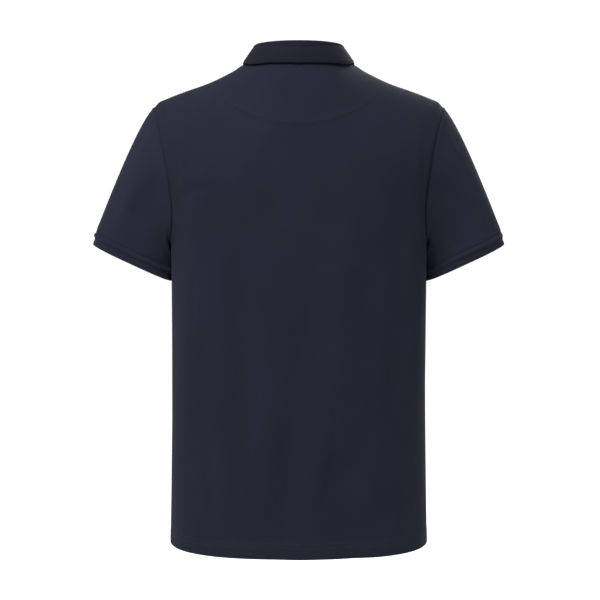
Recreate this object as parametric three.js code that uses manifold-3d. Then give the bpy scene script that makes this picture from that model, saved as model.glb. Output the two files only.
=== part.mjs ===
// A men's short-sleeved polo shirt in pique knit, filled out as if it were worn.
// Millimetres, +Z up. The origin lies midway between the two points where the shoulder seams
// meet the neck. The front faces -Y and the wearer's left side is +X.
// Each piece that is cut and sewn on is one closed wall of cloth. Pieces keep a small gap at seams.

import * as THREE from "three";
import Module from "manifold-3d";
import { mergeVertices } from "three/addons/utils/BufferGeometryUtils.js";

const wasm = await Module();
wasm.setup();

// Cloth and seams
const CLOTH = 1.4; // pique knit
const RIB = 2.0; // flat-knitted rib of the collar and cuffs
const SEAM = 0.3; // gap between two sewn pieces
const HEM_TURN = 20; // height of the turned-up hem, two layers of pique

// Heights of the cut, from the shoulder's neck point
const HEM_Z = -727;
const ARMPIT_Z = -272;

// Shoulder and neck
const NECK_HALF = 74; // half the neck width at the shoulder seams
const TIP_HALF = 218; // half the shoulder width
const SEAM_Y = -6; // the shoulder seam lies just forward of the top
const NECK_SHARE = 0.42; // share of a half panel's top edge columns that the neckline takes

const MIDDLE_WIDTH = 225; // width of half a panel at the chest, along the cloth

// Levels of a panel, as shares of its rows: hem, armpit, middle of the armhole, top edge
const V_ARMPIT = 0.5;
const V_MIDDLE = 0.72;

// Torso sections below the armpit: half width, depth behind and before the side seam, squareness
const TORSO = [
  { at: HEM_Z, half: 197, back: 127.5, front: 122, square: 2.55 },
  { at: -640, half: 195, back: 122, front: 121, square: 2.65 },
  { at: -500, half: 192.8, back: 118, front: 120, square: 2.6 },
  { at: -360, half: 192.5, back: 116, front: 121, square: 2.6 },
  { at: ARMPIT_Z, half: 193, back: 115, front: 123, square: 2.6 },
];

// The shoulder seam's height along its width: hollow by the neck, rounded at the tip
const SHOULDER = [
  { at: NECK_HALF, z: 0 },
  { at: 82, z: -2.2 },
  { at: 90, z: -6.6 },
  { at: 98, z: -12.4 },
  { at: 128, z: -28 },
  { at: 168, z: -42 },
  { at: 200, z: -54.5 },
  { at: TIP_HALF, z: -65 },
];

// What differs between the two panels. middle is the point halfway up the armhole, and scoopIn is
// how far the armhole curves in below it. neck is the lowest point of the neckline, climb is the
// slope of the cloth there in degrees, seamClimb is its slope by the shoulder seam's neck end, and
// climbFall is how fast it falls off on the way.
const BACK = {
  side: 1,
  depth: "back",
  middle: { x: 190.5, y: 58, z: -190, depth: 112, scoopIn: 4.5 },
  neck: { y: 58, z: -2, climb: 54, seamClimb: 7, climbFall: 1.3 },
  neckReach: 108,
};
const FRONT = {
  side: -1,
  depth: "front",
  middle: { x: 185, y: 62, z: -195, depth: 124, scoopIn: 1 },
  neck: { y: -66, z: -70, climb: 62, seamClimb: 16, climbFall: 2 },
  neckReach: 127,
};
const SQUARE_TOP = 2.6; // squareness of the section halfway up the armhole
const NECK_DIP = 1.5; // how fast the neckline drops from the shoulder seam to its middle
const SCOOP_FROM = 0.55; // share of a half panel past which its rows turn up along the armhole

// How the cloth rounds over from the middle of the armhole to the top edge: the length of its
// curve as a share of the depth, the most height that counts, and how far each end leans in.
const ROUNDING = { neck: 0.46, tip: 0.55, mostHeight: 70, lowRise: 0.5, lowLean: 0.3, topLean: 1.1 };

// Soft folds. across is the distance from the centre line towards the wearer's left, as seen on
// the panel; each runs from its top to its foot. A positive rise stands out, a negative one sinks in.
const BACK_FOLDS = [
  { top: -160, topAcross: 141, foot: -520, footAcross: 166, wide: 20, rise: 4.5 },
  { top: -250, topAcross: 119, foot: -690, footAcross: 108, wide: 19, rise: 4 },
  { top: -200, topAcross: 84, foot: -540, footAcross: 80, wide: 20, rise: -3.5 },
  { top: -260, topAcross: 45, foot: -600, footAcross: 52, wide: 22, rise: 2.5 },
  { top: -330, topAcross: -14, foot: -720, footAcross: 30, wide: 18, rise: -3.5 },
  { top: -90, topAcross: -80, foot: -760, footAcross: 4, wide: 26, rise: 5.5, bow: -20 },
  { top: -560, topAcross: -50, foot: -760, footAcross: -84, wide: 24, rise: -4 },
  { top: -180, topAcross: -150, foot: -520, footAcross: -144, wide: 18, rise: -3.5 },
  { top: -120, topAcross: -182, foot: -480, footAcross: -172, wide: 16, rise: 3 },
];
// Folds fade out below the top edge, beside the seams and towards their own two ends. Each is a
// share of the panel's height or half width, or of the fold's length.
const FOLD_FADE = { top: 0.97, overTop: 0.1, overSide: 0.12, overStart: 0.22, end: 1.12, overEnd: 0.3 };
const FRONT_FOLDS = [
  { top: -170, topAcross: 120, foot: -600, footAcross: 138, wide: 22, rise: 4.5 },
  { top: -230, topAcross: 78, foot: -700, footAcross: 92, wide: 22, rise: -3.5 },
  { top: -260, topAcross: 30, foot: -760, footAcross: 52, wide: 24, rise: 4 },
  { top: -300, topAcross: -12, foot: -730, footAcross: 2, wide: 20, rise: -3 },
  { top: -240, topAcross: -58, foot: -760, footAcross: -44, wide: 24, rise: 4.5 },
  { top: -190, topAcross: -108, foot: -640, footAcross: -96, wide: 22, rise: -3.5 },
  { top: -150, topAcross: -146, foot: -560, footAcross: -158, wide: 20, rise: 4 },
];

// Sleeve: the ring where the cuff is sewn on, and the ring of the cuff's free edge.
// outer is the end away from the body, inner the end next to it.
const SLEEVE_END = {
  outer: { x: 310.5, z: -254.5 },
  inner: { x: 194.6, z: -309.5 },
  y: -20,
  halfDepth: 45,
};
const CUFF_END = {
  outer: { x: 316, z: -273.5 },
  inner: { x: 195.4, z: -329.5 },
  y: -21,
  halfDepth: 44,
};
const SLEEVE_SQUARE = { outer: 2.25, inner: 3.2 }; // squareness of the rings at those ends

// How a sleeve leaves the armhole at the shoulder tip and under the arm: its slope in degrees, how
// far it goes on that way, and its lean where it hangs. drop is the share that hangs straight.
const SLEEVE_CAP = {
  tip: { slope: 40, lead: 26, lean: 0.4 },
  under: { slope: 30, lead: 5, lean: 0.02 },
  drop: 0.42,
};
const CUFF_PROUD = 0.4; // the rib stands a little out from the sleeve at their seam

// Collar sections from the centre back (0) to the centre front (1): height of the fold's top, how
// far it leans in from the neck seam, and where the outer edge lies on the shirt, seen from above.
const COLLAR = [
  { at: 0, top: 27, lean: 5, x: 0, y: 63 },
  { at: 0.12, top: 27, lean: 5.5, x: 31, y: 58 },
  { at: 0.24, top: 26.5, lean: 6.5, x: 56.5, y: 43 },
  { at: 0.36, top: 25.5, lean: 8.5, x: 74.5, y: 19.5 },
  { at: 0.46, top: 23, lean: 10, x: 82, y: -6 },
  { at: 0.56, top: 12, lean: 11, x: 81, y: -29 },
  { at: 0.7, top: -10, lean: 11, x: 72, y: -55 },
  { at: 0.85, top: -31, lean: 10, x: 53, y: -79 },
  { at: 1, top: -45, lean: 9, x: 32, y: -97 },
];
const COLLAR_LIFT = { sides: 3.6, front: 5 }; // the edge's height above the shirt
const COLLAR_NECK_AT = 0.46; // the shoulder seam's place in that table
const ROLL = 2.6; // radius of the collar's fold
const STAND = { lean: 0.3, straight: 0.4 }; // the stand's lean at the seam, and how long it keeps it
const FALL_BULGE = 2; // the fall bows out by this much

// Placket and buttons
const PLACKET = { half: 16, length: 150, slit: 11, thick: 2 };
const BUTTON = { radius: 5.6, thick: 2.6, holeRadius: 0.8, holeReach: 1.5, below: [20, 70, 120] };

// Patch inside the back neck: lowest point, and the radius of its rounded edge
const PATCH = { low: -96, radius: 174, thick: 1.2 };

// Small mathematics
const lerp = (a, b, t) => a + (b - a) * t;
const clamp01 = (t) => Math.min(1, Math.max(0, t));
const ease = (t) => clamp01(t) ** 2 * (3 - 2 * clamp01(t));
const radians = (degrees) => (degrees * Math.PI) / 180;
const point = (x, y, z) => new THREE.Vector3(x, y, z);

// The value of one column of a table at a place between its rows, curved smoothly through them.
function column(rows, at, name) {
  const last = rows.length - 1;
  let i = 0;
  while (i < last - 1 && at > rows[i + 1].at) i++;
  const slope = (a, b) => (rows[b][name] - rows[a][name]) / (rows[b].at - rows[a].at);
  const here = rows[i];
  const next = rows[i + 1];
  const span = next.at - here.at;
  const t = clamp01((at - here.at) / span);
  const m0 = i > 0 ? slope(i - 1, i + 1) : slope(i, i + 1);
  const m1 = i + 1 < last ? slope(i, i + 2) : slope(i, i + 1);
  const t2 = t * t;
  const t3 = t2 * t;
  return (
    (2 * t3 - 3 * t2 + 1) * here[name] +
    (t3 - 2 * t2 + t) * span * m0 +
    (3 * t2 - 2 * t3) * next[name] +
    (t3 - t2) * span * m1
  );
}

function bezier(p0, p1, p2, p3, t) {
  const s = 1 - t;
  return point(0, 0, 0)
    .addScaledVector(p0, s * s * s)
    .addScaledVector(p1, 3 * s * s * t)
    .addScaledVector(p2, 3 * s * t * t)
    .addScaledVector(p3, t * t * t);
}

// A point on a rounded-square section, at a share of the girth from its middle to the angle end.
function onSection(half, depth, square, end, share) {
  const STEPS = 48;
  const at = (angle) => [
    half * Math.sin(angle) ** (2 / square),
    depth * Math.max(0, Math.cos(angle)) ** (2 / square),
  ];
  const lengths = [0];
  let before = at(0);
  for (let i = 1; i <= STEPS; i++) {
    const now = at((end * i) / STEPS);
    lengths.push(lengths[i - 1] + Math.hypot(now[0] - before[0], now[1] - before[1]));
    before = now;
  }
  const wanted = lengths[STEPS] * share;
  let i = 1;
  while (i < STEPS && lengths[i] < wanted) i++;
  const t = (wanted - lengths[i - 1]) / (lengths[i] - lengths[i - 1]);
  const a = at((end * (i - 1)) / STEPS);
  const b = at((end * i) / STEPS);
  return [lerp(a[0], b[0], t), lerp(a[1], b[1], t)];
}

// The top edge of a half panel: the neckline up to NECK_SHARE, then the shoulder seam.
function topEdge(cut, across) {
  if (across >= NECK_SHARE) {
    const x = lerp(NECK_HALF, TIP_HALF, (across - NECK_SHARE) / (1 - NECK_SHARE));
    return point(x, SEAM_Y, column(SHOULDER, x, "z"));
  }
  // Columns are as far apart at the centre as lower down, and spread towards the shoulder seam.
  const reach = MIDDLE_WIDTH * NECK_SHARE;
  const bend = (cut.neckReach - reach) / NECK_SHARE ** 3;
  const share = (MIDDLE_WIDTH * across + bend * across ** 3) / cut.neckReach;
  const angle = (share * Math.PI) / 2;
  return point(
    NECK_HALF * Math.sin(angle),
    SEAM_Y + (cut.neck.y - SEAM_Y) * Math.cos(angle),
    cut.neck.z * Math.cos(angle) ** NECK_DIP,
  );
}

// A panel's bare form. u runs from -1 at the wearer's right side to 1 at the left,
// v from 0 at the hem to 1 at the shoulder seam and neckline.
function form(cut, u, v) {
  const across = Math.abs(u);
  const mirror = u < 0 ? -1 : 1;
  const gap = (cut.side * SEAM) / 2;
  let p;
  if (v <= V_ARMPIT) {
    const t = v / V_ARMPIT;
    const level = lerp(HEM_Z, ARMPIT_Z, t);
    const [x, y] = onSection(
      column(TORSO, level, "half"),
      column(TORSO, level, cut.depth),
      column(TORSO, level, "square"),
      Math.PI / 2,
      across,
    );
    p = point(x, cut.side * y, level);
  } else {
    const arm = cut.middle;
    const rise = Math.min(1, (v - V_ARMPIT) / (V_MIDDLE - V_ARMPIT));
    const armpit = TORSO[TORSO.length - 1];
    const turn = (rise * Math.PI) / 2;
    const square = lerp(armpit.square, SQUARE_TOP, rise);
    const depth = lerp(armpit[cut.depth], arm.depth, rise);
    const endCos = (edge, deep) => Math.min(1, Math.max(0, edge / deep)) ** (square / 2);
    const middleSin = Math.sqrt(1 - endCos(arm.y, arm.depth) ** 2);
    const straightHalf = lerp(armpit.half, arm.x / middleSin ** (2 / square), rise);
    const half = straightHalf - arm.scoopIn * Math.sin(Math.PI * rise);
    const end = Math.acos(endCos(arm.y * Math.sin(turn), depth));
    const [x, y] = onSection(half, depth, square, end, across);
    const straight = lerp(ARMPIT_Z, arm.z, rise);
    const scooped = lerp(arm.z, ARMPIT_Z, Math.cos(turn));
    p = point(x, cut.side * y, lerp(straight, scooped, ease((across - SCOOP_FROM) / (1 - SCOOP_FROM))));
    if (v > V_MIDDLE) {
      const t = (v - V_MIDDLE) / (1 - V_MIDDLE);
      const top = topEdge(cut, across);
      const high = top.z - p.z;
      const deep = Math.abs(top.y - p.y);
      const beyondNeck = clamp01((across - NECK_SHARE) / 0.5);
      const { climb, seamClimb, climbFall } = cut.neck;
      const slope = radians(
        across < NECK_SHARE
          ? lerp(climb, seamClimb, (across / NECK_SHARE) ** climbFall)
          : seamClimb * (1 - ease(beyondNeck)),
      );
      const rounding = lerp(ROUNDING.neck, ROUNDING.tip, beyondNeck);
      const handle = rounding * lerp(deep, Math.min(high, ROUNDING.mostHeight), Math.sin(slope));
      const low = point(lerp(p.x, top.x, ROUNDING.lowLean), p.y, p.z + ROUNDING.lowRise * high);
      const near = point(
        lerp(p.x, top.x, ROUNDING.topLean),
        top.y + cut.side * handle * Math.cos(slope),
        top.z - handle * Math.sin(slope),
      );
      p = bezier(p, low, near, top, t);
    }
  }
  return point(mirror * p.x, p.y + gap, p.z);
}

// How far the folds move the cloth out at a point of the bare form.
function foldRise(folds, p, u, v) {
  const nearTop = ease((FOLD_FADE.top - v) / FOLD_FADE.overTop);
  const nearSide = ease((1 - Math.abs(u)) / FOLD_FADE.overSide);
  let rise = 0;
  for (const fold of folds) {
    const t = (p.z - fold.top) / (fold.foot - fold.top);
    const fade = ease(t / FOLD_FADE.overStart) * ease((FOLD_FADE.end - t) / FOLD_FADE.overEnd);
    const centre = lerp(fold.topAcross, fold.footAcross, t) + (fold.bow ?? 0) * 4 * t * (1 - t);
    const off = (p.x - centre) / fold.wide;
    rise += fold.rise * fade * Math.exp(-off * off);
  }
  return rise * nearTop * nearSide;
}

// Normals of a grid of points, facing away from the side that keeps "inside".
function gridNormals(points, facing, wrap = false) {
  const rows = points.length;
  const cols = points[0].length;
  return points.map((row, i) =>
    row.map((p, j) => {
      const up = points[Math.min(i + 1, rows - 1)][j]
        .clone()
        .sub(points[Math.max(i - 1, 0)][j]);
      const right = wrap ? row[(j + 1) % cols] : row[Math.min(j + 1, cols - 1)];
      const left = wrap ? row[(j + cols - 1) % cols] : row[Math.max(j - 1, 0)];
      return right.clone().sub(left).cross(up).normalize().multiplyScalar(facing);
    }),
  );
}

// A closed wall between two grids of points. Cells for which open(i, j) is true are left out.
function wall(outer, inner, { wrap = false, open = () => false } = {}) {
  const rows = outer.length;
  const cols = outer[0].length;
  const cellCols = wrap ? cols : cols - 1;
  const positions = [...outer.flat(), ...inner.flat()].flatMap((p) => [p.x, p.y, p.z]);
  const id = (i, j) => i * cols + (j % cols);
  const under = (i, j) => rows * cols + id(i, j);
  const solid = (i, j) => {
    if (i < 0 || i >= rows - 1) return false;
    if (wrap) return !open(i, (j + cellCols) % cellCols);
    return j >= 0 && j < cellCols && !open(i, j);
  };
  const index = [];
  const quad = (a, b, c, d) => index.push(a, b, c, a, c, d);
  for (let i = 0; i < rows - 1; i++)
    for (let j = 0; j < cellCols; j++) {
      if (!solid(i, j)) continue;
      quad(id(i, j), id(i, j + 1), id(i + 1, j + 1), id(i + 1, j));
      quad(under(i, j), under(i + 1, j), under(i + 1, j + 1), under(i, j + 1));
      if (!solid(i - 1, j)) quad(id(i, j), under(i, j), under(i, j + 1), id(i, j + 1));
      if (!solid(i + 1, j))
        quad(id(i + 1, j + 1), under(i + 1, j + 1), under(i + 1, j), id(i + 1, j));
      if (!solid(i, j - 1)) quad(id(i + 1, j), under(i + 1, j), under(i, j), id(i, j));
      if (!solid(i, j + 1))
        quad(id(i, j + 1), under(i, j + 1), under(i + 1, j + 1), id(i + 1, j + 1));
    }
  const geometry = new THREE.BufferGeometry();
  geometry.setAttribute("position", new THREE.Float32BufferAttribute(positions, 3));
  geometry.setIndex(volumeOf(positions, index) < 0 ? index.reverse() : index);
  const used = geometry.toNonIndexed();
  return mergeVertices(used, 1e-4);
}

function volumeOf(positions, index) {
  let sum = 0;
  const at = (k) => point(positions[3 * k], positions[3 * k + 1], positions[3 * k + 2]);
  for (let k = 0; k < index.length; k += 3)
    sum += at(index[k]).dot(at(index[k + 1]).cross(at(index[k + 2])));
  return sum / 6;
}

// Shares from 0 to 1 in the given numbers of steps between the given stops.
function shares(stops, steps) {
  const list = [stops[0]];
  steps.forEach((n, k) => {
    for (let i = 1; i <= n; i++) list.push(lerp(stops[k], stops[k + 1], i / n));
  });
  return list;
}

const offset = (points, normals, distance) =>
  points.map((row, i) =>
    row.map((p, j) =>
      p.clone().addScaledVector(normals[i][j], typeof distance === "number" ? distance : distance(i, j)),
    ),
  );

// Front and back panels

const HEM_V = (HEM_TURN / (ARMPIT_Z - HEM_Z)) * V_ARMPIT;
const PANEL_ROWS = [
  ...shares([0, HEM_V], [1]),
  ...shares([HEM_V + 0.001, V_ARMPIT], [9]),
  ...shares([V_ARMPIT, V_MIDDLE, 1], [5, 10]).slice(1),
];
const ARMPIT_ROW = PANEL_ROWS.indexOf(V_ARMPIT);
const SLIT_SHARE = PLACKET.slit / MIDDLE_WIDTH;
const PLACKET_SHARE = PLACKET.half / MIDDLE_WIDTH;
const HALF_COLUMNS = {
  back: shares([0, NECK_SHARE, 1], [6, 9]),
  front: shares([0, SLIT_SHARE, PLACKET_SHARE, NECK_SHARE, 1], [1, 1, 5, 9]),
};

// A panel's cloth: the outer and inner points of its grid.
function panelCloth(cut, folds) {
  const half = HALF_COLUMNS[cut.depth];
  const columns = [...half.slice(1).map((u) => -u).reverse(), ...half];
  const bare = PANEL_ROWS.map((v) => columns.map((u) => form(cut, u, v)));
  const facing = -cut.side;
  const bareNormals = gridNormals(bare, facing);
  const outer = offset(bare, bareNormals, (i, j) =>
    foldRise(folds, bare[i][j], columns[j], PANEL_ROWS[i]),
  );
  const normals = gridNormals(outer, facing);
  const last = columns.length - 1;
  normals.forEach((row, i) =>
    row.forEach((n, j) => {
      const sideSeam = (j === 0 || j === last) && i <= ARMPIT_ROW;
      const shoulderSeam = i === normals.length - 1 && Math.abs(columns[j]) >= NECK_SHARE;
      if (sideSeam || shoulderSeam) n.setY(0).normalize();
    }),
  );
  const inner = offset(outer, normals, (i) => (PANEL_ROWS[i] <= HEM_V ? -2 * CLOTH : -CLOTH));
  return { outer, inner, normals, columns };
}

const back = panelCloth(BACK, BACK_FOLDS);
const front = panelCloth(FRONT, FRONT_FOLDS);

// A point on a cloth's grid, moved out from it.
function onCloth(cloth, u, v, lift) {
  const place = (list, value) => {
    let k = 0;
    while (k < list.length - 2 && value > list[k + 1]) k++;
    return [k, (value - list[k]) / (list[k + 1] - list[k])];
  };
  const [i, s] = place(PANEL_ROWS, v);
  const [j, t] = place(cloth.columns, u);
  const mix = (grid) => {
    const low = grid[i][j].clone().lerp(grid[i][j + 1], t);
    return low.lerp(grid[i + 1][j].clone().lerp(grid[i + 1][j + 1], t), s);
  };
  return mix(cloth.outer).addScaledVector(mix(cloth.normals).normalize(), lift);
}

// The v that lies a distance down a panel's column from its top edge.
function downFromTop(cloth, u, distance) {
  const STEP = 0.002;
  let v = 1;
  let walked = 0;
  let p = onCloth(cloth, u, 1, 0);
  while (walked < distance && v > 0) {
    v -= STEP;
    const q = onCloth(cloth, u, v, 0);
    walked += q.distanceTo(p);
    p = q;
  }
  return v;
}

// A layer that lies on a cloth: its faces are so far out from the cloth's outer face.
function layer(cloth, rowsOf, columns, from, to) {
  const face = (lift) =>
    rowsOf[0].map((_, i) => columns.map((u, j) => onCloth(cloth, u, rowsOf[j][i], lift)));
  return { outer: face(Math.max(from, to)), inner: face(Math.min(from, to)) };
}

const placketFoot = downFromTop(front, 0, PLACKET.length);
const slitRow = PANEL_ROWS.findIndex((v) => v > placketFoot);
const inSlit = (i, j) => {
  const middle = (front.columns[j] + front.columns[j + 1]) / 2;
  return Math.abs(middle) < SLIT_SHARE && i >= slitRow;
};

// Sleeves and cuffs

// The armhole as a ring from the shoulder tip down the back to the armpit and up the front:
// each point with the panel's normal, and its share of the way down its side.
function armholeRing(side) {
  const top = PANEL_ROWS.length - 1;
  const edge = (cloth, i) => {
    const j = side > 0 ? cloth.columns.length - 1 : 0;
    return { p: cloth.outer[i][j], normal: cloth.normals[i][j] };
  };
  const seam = (i) => ({
    p: edge(back, i).p.clone().lerp(edge(front, i).p, 0.5),
    normal: edge(back, i).normal.clone().add(edge(front, i).normal).normalize(),
  });
  const behind = [];
  const before = [];
  for (let i = top - 1; i > ARMPIT_ROW; i--) {
    behind.push(edge(back, i));
    before.push(edge(front, i));
  }
  const down = [seam(top), ...behind, seam(ARMPIT_ROW)];
  const up = [seam(top), ...before, seam(ARMPIT_ROW)];
  const withShares = (line) => {
    const lengths = [0];
    for (let k = 1; k < line.length; k++)
      lengths.push(lengths[k - 1] + line[k].p.distanceTo(line[k - 1].p));
    return line.map((e, k) => ({ ...e, share: lengths[k] / lengths[line.length - 1] }));
  };
  return [...withShares(down), ...withShares(up).slice(1, -1).reverse()];
}

// A sleeve ring's point at a share of the way from its outer end to the end at the body.
function ringPoint(ring, side, share, behind) {
  const angle = share * Math.PI;
  const square = lerp(SLEEVE_SQUARE.outer, SLEEVE_SQUARE.inner, share);
  const shape = (value) => Math.sign(value) * Math.abs(value) ** (2 / square);
  const along = (1 - shape(Math.cos(angle))) / 2;
  const x = lerp(ring.outer.x, ring.inner.x, along);
  const z = lerp(ring.outer.z, ring.inner.z, along);
  return point(side * x, ring.y + (behind ? 1 : -1) * ring.halfDepth * shape(Math.sin(angle)), z);
}

const SLEEVE_ROWS = [0.03, 0.07, 0.12, 0.19, 0.28, 0.39, 0.52, 0.66, 0.83, 1];
const unit = (x, y, z) => point(x, y, z).normalize();

function sleeveCloth(side) {
  const { tip, under, drop } = SLEEVE_CAP;
  const ring = armholeRing(side);
  const n = ring.length;
  const lines = ring.map((e, k) => {
    const along = ring[(k + 1) % n].p.clone().sub(ring[(k + n - 1) % n].p).normalize();
    const slope = radians(lerp(tip.slope, under.slope, e.share));
    const leave = point(side * Math.cos(slope), 0, -Math.sin(slope));
    leave.addScaledVector(along, -leave.dot(along)).normalize();
    const face = leave.clone().cross(along).multiplyScalar(side);
    const clear = SEAM + Math.max(0, -CLOTH * e.normal.dot(leave));
    const start = e.p.clone().addScaledVector(leave, clear);
    const end = ringPoint(SLEEVE_END, side, e.share, k <= n / 2);
    const reach = start.distanceTo(end);
    const hang = unit(side * lerp(tip.lean, under.lean, e.share ** 2), 0, -1);
    const lead = start.clone().addScaledVector(leave, lerp(tip.lead, under.lead, e.share));
    const trail = end.clone().addScaledVector(hang, -drop * reach);
    return { start, lead, trail, end, face };
  });
  const outer = [
    lines.map((line) => line.start),
    ...SLEEVE_ROWS.map((s) => lines.map((l) => bezier(l.start, l.lead, l.trail, l.end, s))),
  ];
  const normals = gridNormals(outer, -side, true);
  normals[0] = lines.map((line) => line.face);
  const axis = sleeveAxis(side);
  for (const normal of normals[normals.length - 1])
    normal.addScaledVector(axis, -normal.dot(axis)).normalize();
  const shares = ring.map((e) => e.share);
  return { outer, inner: offset(outer, normals, -CLOTH), normals, shares };
}

// The way a sleeve points at its end, square to the cuff's seam.
function sleeveAxis(side) {
  const { outer, inner } = SLEEVE_END;
  return unit(side * (outer.z - inner.z), 0, inner.x - outer.x);
}

function cuffCloth(side, sleeve) {
  const axis = sleeveAxis(side);
  const last = sleeve.outer.length - 1;
  const n = sleeve.shares.length;
  const foot = sleeve.shares.map((share, k) => ringPoint(CUFF_END, side, share, k <= n / 2));
  const head = sleeve.outer[last].map((p, k) =>
    p
      .clone()
      .addScaledVector(axis, SEAM)
      .addScaledVector(sleeve.normals[last][k], CUFF_PROUD),
  );
  const outer = [0, 0.5, 1].map((t) => head.map((p, k) => p.clone().lerp(foot[k], t)));
  const normals = gridNormals(outer, -side, true);
  normals[0] = sleeve.normals[last];
  return { outer, inner: offset(outer, normals, -RIB) };
}

// Collar

// A point of the neckline, with the line's direction there, the cloth's normal, the way across
// the edge out of the cloth, and the level direction away from the neck.
function neckline(at) {
  const STEP = 0.01;
  const behind = at <= COLLAR_NECK_AT;
  const cloth = behind ? back : front;
  const u = NECK_SHARE * (behind ? at / COLLAR_NECK_AT : (1 - at) / (1 - COLLAR_NECK_AT));
  const edge = (share) => onCloth(cloth, Math.min(share, NECK_SHARE), 1, 0);
  const normalOn = (panel) => onCloth(panel, u, 1, 1).sub(onCloth(panel, u, 1, 0));
  const p = edge(u);
  const normal = normalOn(cloth);
  if (u > NECK_SHARE - STEP) normal.add(normalOn(behind ? front : back)).normalize();
  const along = edge(u + STEP).sub(edge(u - STEP)).normalize();
  const across = normal.clone().cross(along).multiplyScalar(behind ? -1 : 1).normalize();
  const depth = (behind ? BACK : FRONT).neck.y - SEAM_Y;
  const outward = unit(p.x / NECK_HALF ** 2, (p.y - SEAM_Y) / depth ** 2, 0);
  return { p, normal, along, across, outward };
}

// The top of the shirt above a point of the floor plan, with the cloth's normal.
function topOfShirt(x, y) {
  let best = null;
  const cross = (a, b) => a[0] * b[1] - a[1] * b[0];
  for (const { outer, normals } of [back, front])
    for (let i = ARMPIT_ROW; i < outer.length - 1; i++)
      for (let j = 0; j < outer[0].length - 1; j++)
        for (const corners of [
          [[i, j], [i, j + 1], [i + 1, j + 1]],
          [[i, j], [i + 1, j + 1], [i + 1, j]],
        ]) {
          const ps = corners.map(([a, b]) => outer[a][b]);
          const ray = ps.map((p) => [p.x - x, p.y - y]);
          const parts = [cross(ray[1], ray[2]), cross(ray[2], ray[0]), cross(ray[0], ray[1])];
          const sum = parts[0] + parts[1] + parts[2];
          if (!parts.every((part) => part / sum > -0.02)) continue;
          const mix = (values) =>
            values.reduce((v, q, k) => v.addScaledVector(q, parts[k] / sum), point(0, 0, 0));
          const p = mix(ps);
          if (best && best.p.z > p.z) continue;
          best = { p, normal: mix(corners.map(([a, b]) => normals[a][b])).normalize() };
        }
  return best;
}

// A point of the collar's outer edge.
function collarEdge(at) {
  const { p, normal } = topOfShirt(column(COLLAR, at, "x"), column(COLLAR, at, "y"));
  const lift = lerp(COLLAR_LIFT.sides, COLLAR_LIFT.front, ease((at - 0.6) / 0.4));
  return p.addScaledVector(normal, lift);
}

const COLLAR_STAND_ROWS = [0, 0.18, 0.45, 0.75, 1];
const COLLAR_ROLL_ROWS = [0.33, 0.67, 1];
const COLLAR_FALL_ROWS = [0.25, 0.5, 0.75, 1];

// The middle of the collar's rib, from the neck seam up the stand, over the fold and down.
function collarSection(at) {
  const { p: seam, normal, along, across, outward } = neckline(at);
  const rise = point(0, 0, 1).addScaledVector(outward, -STAND.lean);
  rise.addScaledVector(along, -rise.dot(along)).normalize();
  const base = seam
    .clone()
    .addScaledVector(normal, -CLOTH / 2)
    .addScaledVector(across, SEAM + Math.max(0, (RIB / 2) * rise.dot(normal)));
  const face = rise.clone().cross(along).normalize();
  if (face.dot(outward) < 0) face.negate();
  const top = base.clone().addScaledVector(outward, -column(COLLAR, at, "lean"));
  top.z = column(COLLAR, at, "top") - ROLL - RIB / 2;
  const bend = base.clone().addScaledVector(rise, STAND.straight * base.distanceTo(top));
  const curve = (a, b, c, t) => a.clone().lerp(b, t).lerp(b.clone().lerp(c, t), t);
  const rows = COLLAR_STAND_ROWS.map((t) => curve(base, bend, top, t));
  for (const t of COLLAR_ROLL_ROWS) {
    const angle = Math.PI * (1 - t);
    const p = top.clone().addScaledVector(outward, ROLL * (1 + Math.cos(angle)));
    rows.push(p.add(point(0, 0, ROLL * Math.sin(angle))));
  }
  const start = rows[rows.length - 1];
  const edge = collarEdge(at);
  const bulge = start.clone().lerp(edge, 0.5).addScaledVector(outward, FALL_BULGE);
  for (const t of COLLAR_FALL_ROWS) rows.push(curve(start, bulge, edge, t));
  return { rows, face };
}

// The collar's sections stand at the panels' own neckline columns.
function collarPlaces() {
  const END = 0.992; // each end stops just short of the centre front
  const share = (u) => u / NECK_SHARE;
  const columns = (cloth) => cloth.columns.filter((u) => u >= 0 && u <= NECK_SHARE);
  const behind = columns(back).map((u) => COLLAR_NECK_AT * share(u));
  const before = columns(front)
    .reverse()
    .map((u) => 1 - (1 - COLLAR_NECK_AT) * share(u));
  return [...behind, ...before.slice(1).map((at) => Math.min(at, END))];
}

function collarCloth() {
  const sections = collarPlaces().map(collarSection);
  const mirrored = (p) => point(-p.x, p.y, p.z);
  const right = sections.slice(1).reverse();
  const all = [
    ...right.map((s) => ({ rows: s.rows.map(mirrored), face: mirrored(s.face) })),
    ...sections,
  ];
  const middle = all[0].rows.map((_, i) => all.map((section) => section.rows[i]));
  const normals = gridNormals(middle, -1);
  normals[0] = all.map((section) => section.face);
  return { outer: offset(middle, normals, RIB / 2), inner: offset(middle, normals, -RIB / 2) };
}

// Placket strips and buttons

// One strip of the placket, so far out from the front's outer face.
function placketStrip(from, to) {
  const columns = front.columns.filter((u) => Math.abs(u) <= PLACKET_SHARE + 1e-9);
  const between = PANEL_ROWS.filter((v) => v >= PANEL_ROWS[slitRow] && v < 1);
  const foot = lerp(PANEL_ROWS[slitRow], PANEL_ROWS[slitRow - 1], 0.5);
  const top = lerp(1, PANEL_ROWS[PANEL_ROWS.length - 2], 0.04);
  const rows = [foot, ...between, top];
  return layer(front, columns.map(() => rows), columns, from, to);
}

function asManifold(geometry) {
  const bare = new THREE.BufferGeometry();
  bare.setAttribute("position", geometry.getAttribute("position"));
  if (geometry.index) bare.setIndex(geometry.index);
  const merged = mergeVertices(bare, 1e-4);
  return new wasm.Manifold(
    new wasm.Mesh({
      numProp: 3,
      vertProperties: new Float32Array(merged.attributes.position.array),
      triVerts: new Uint32Array(merged.index.array),
    }),
  );
}

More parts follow.
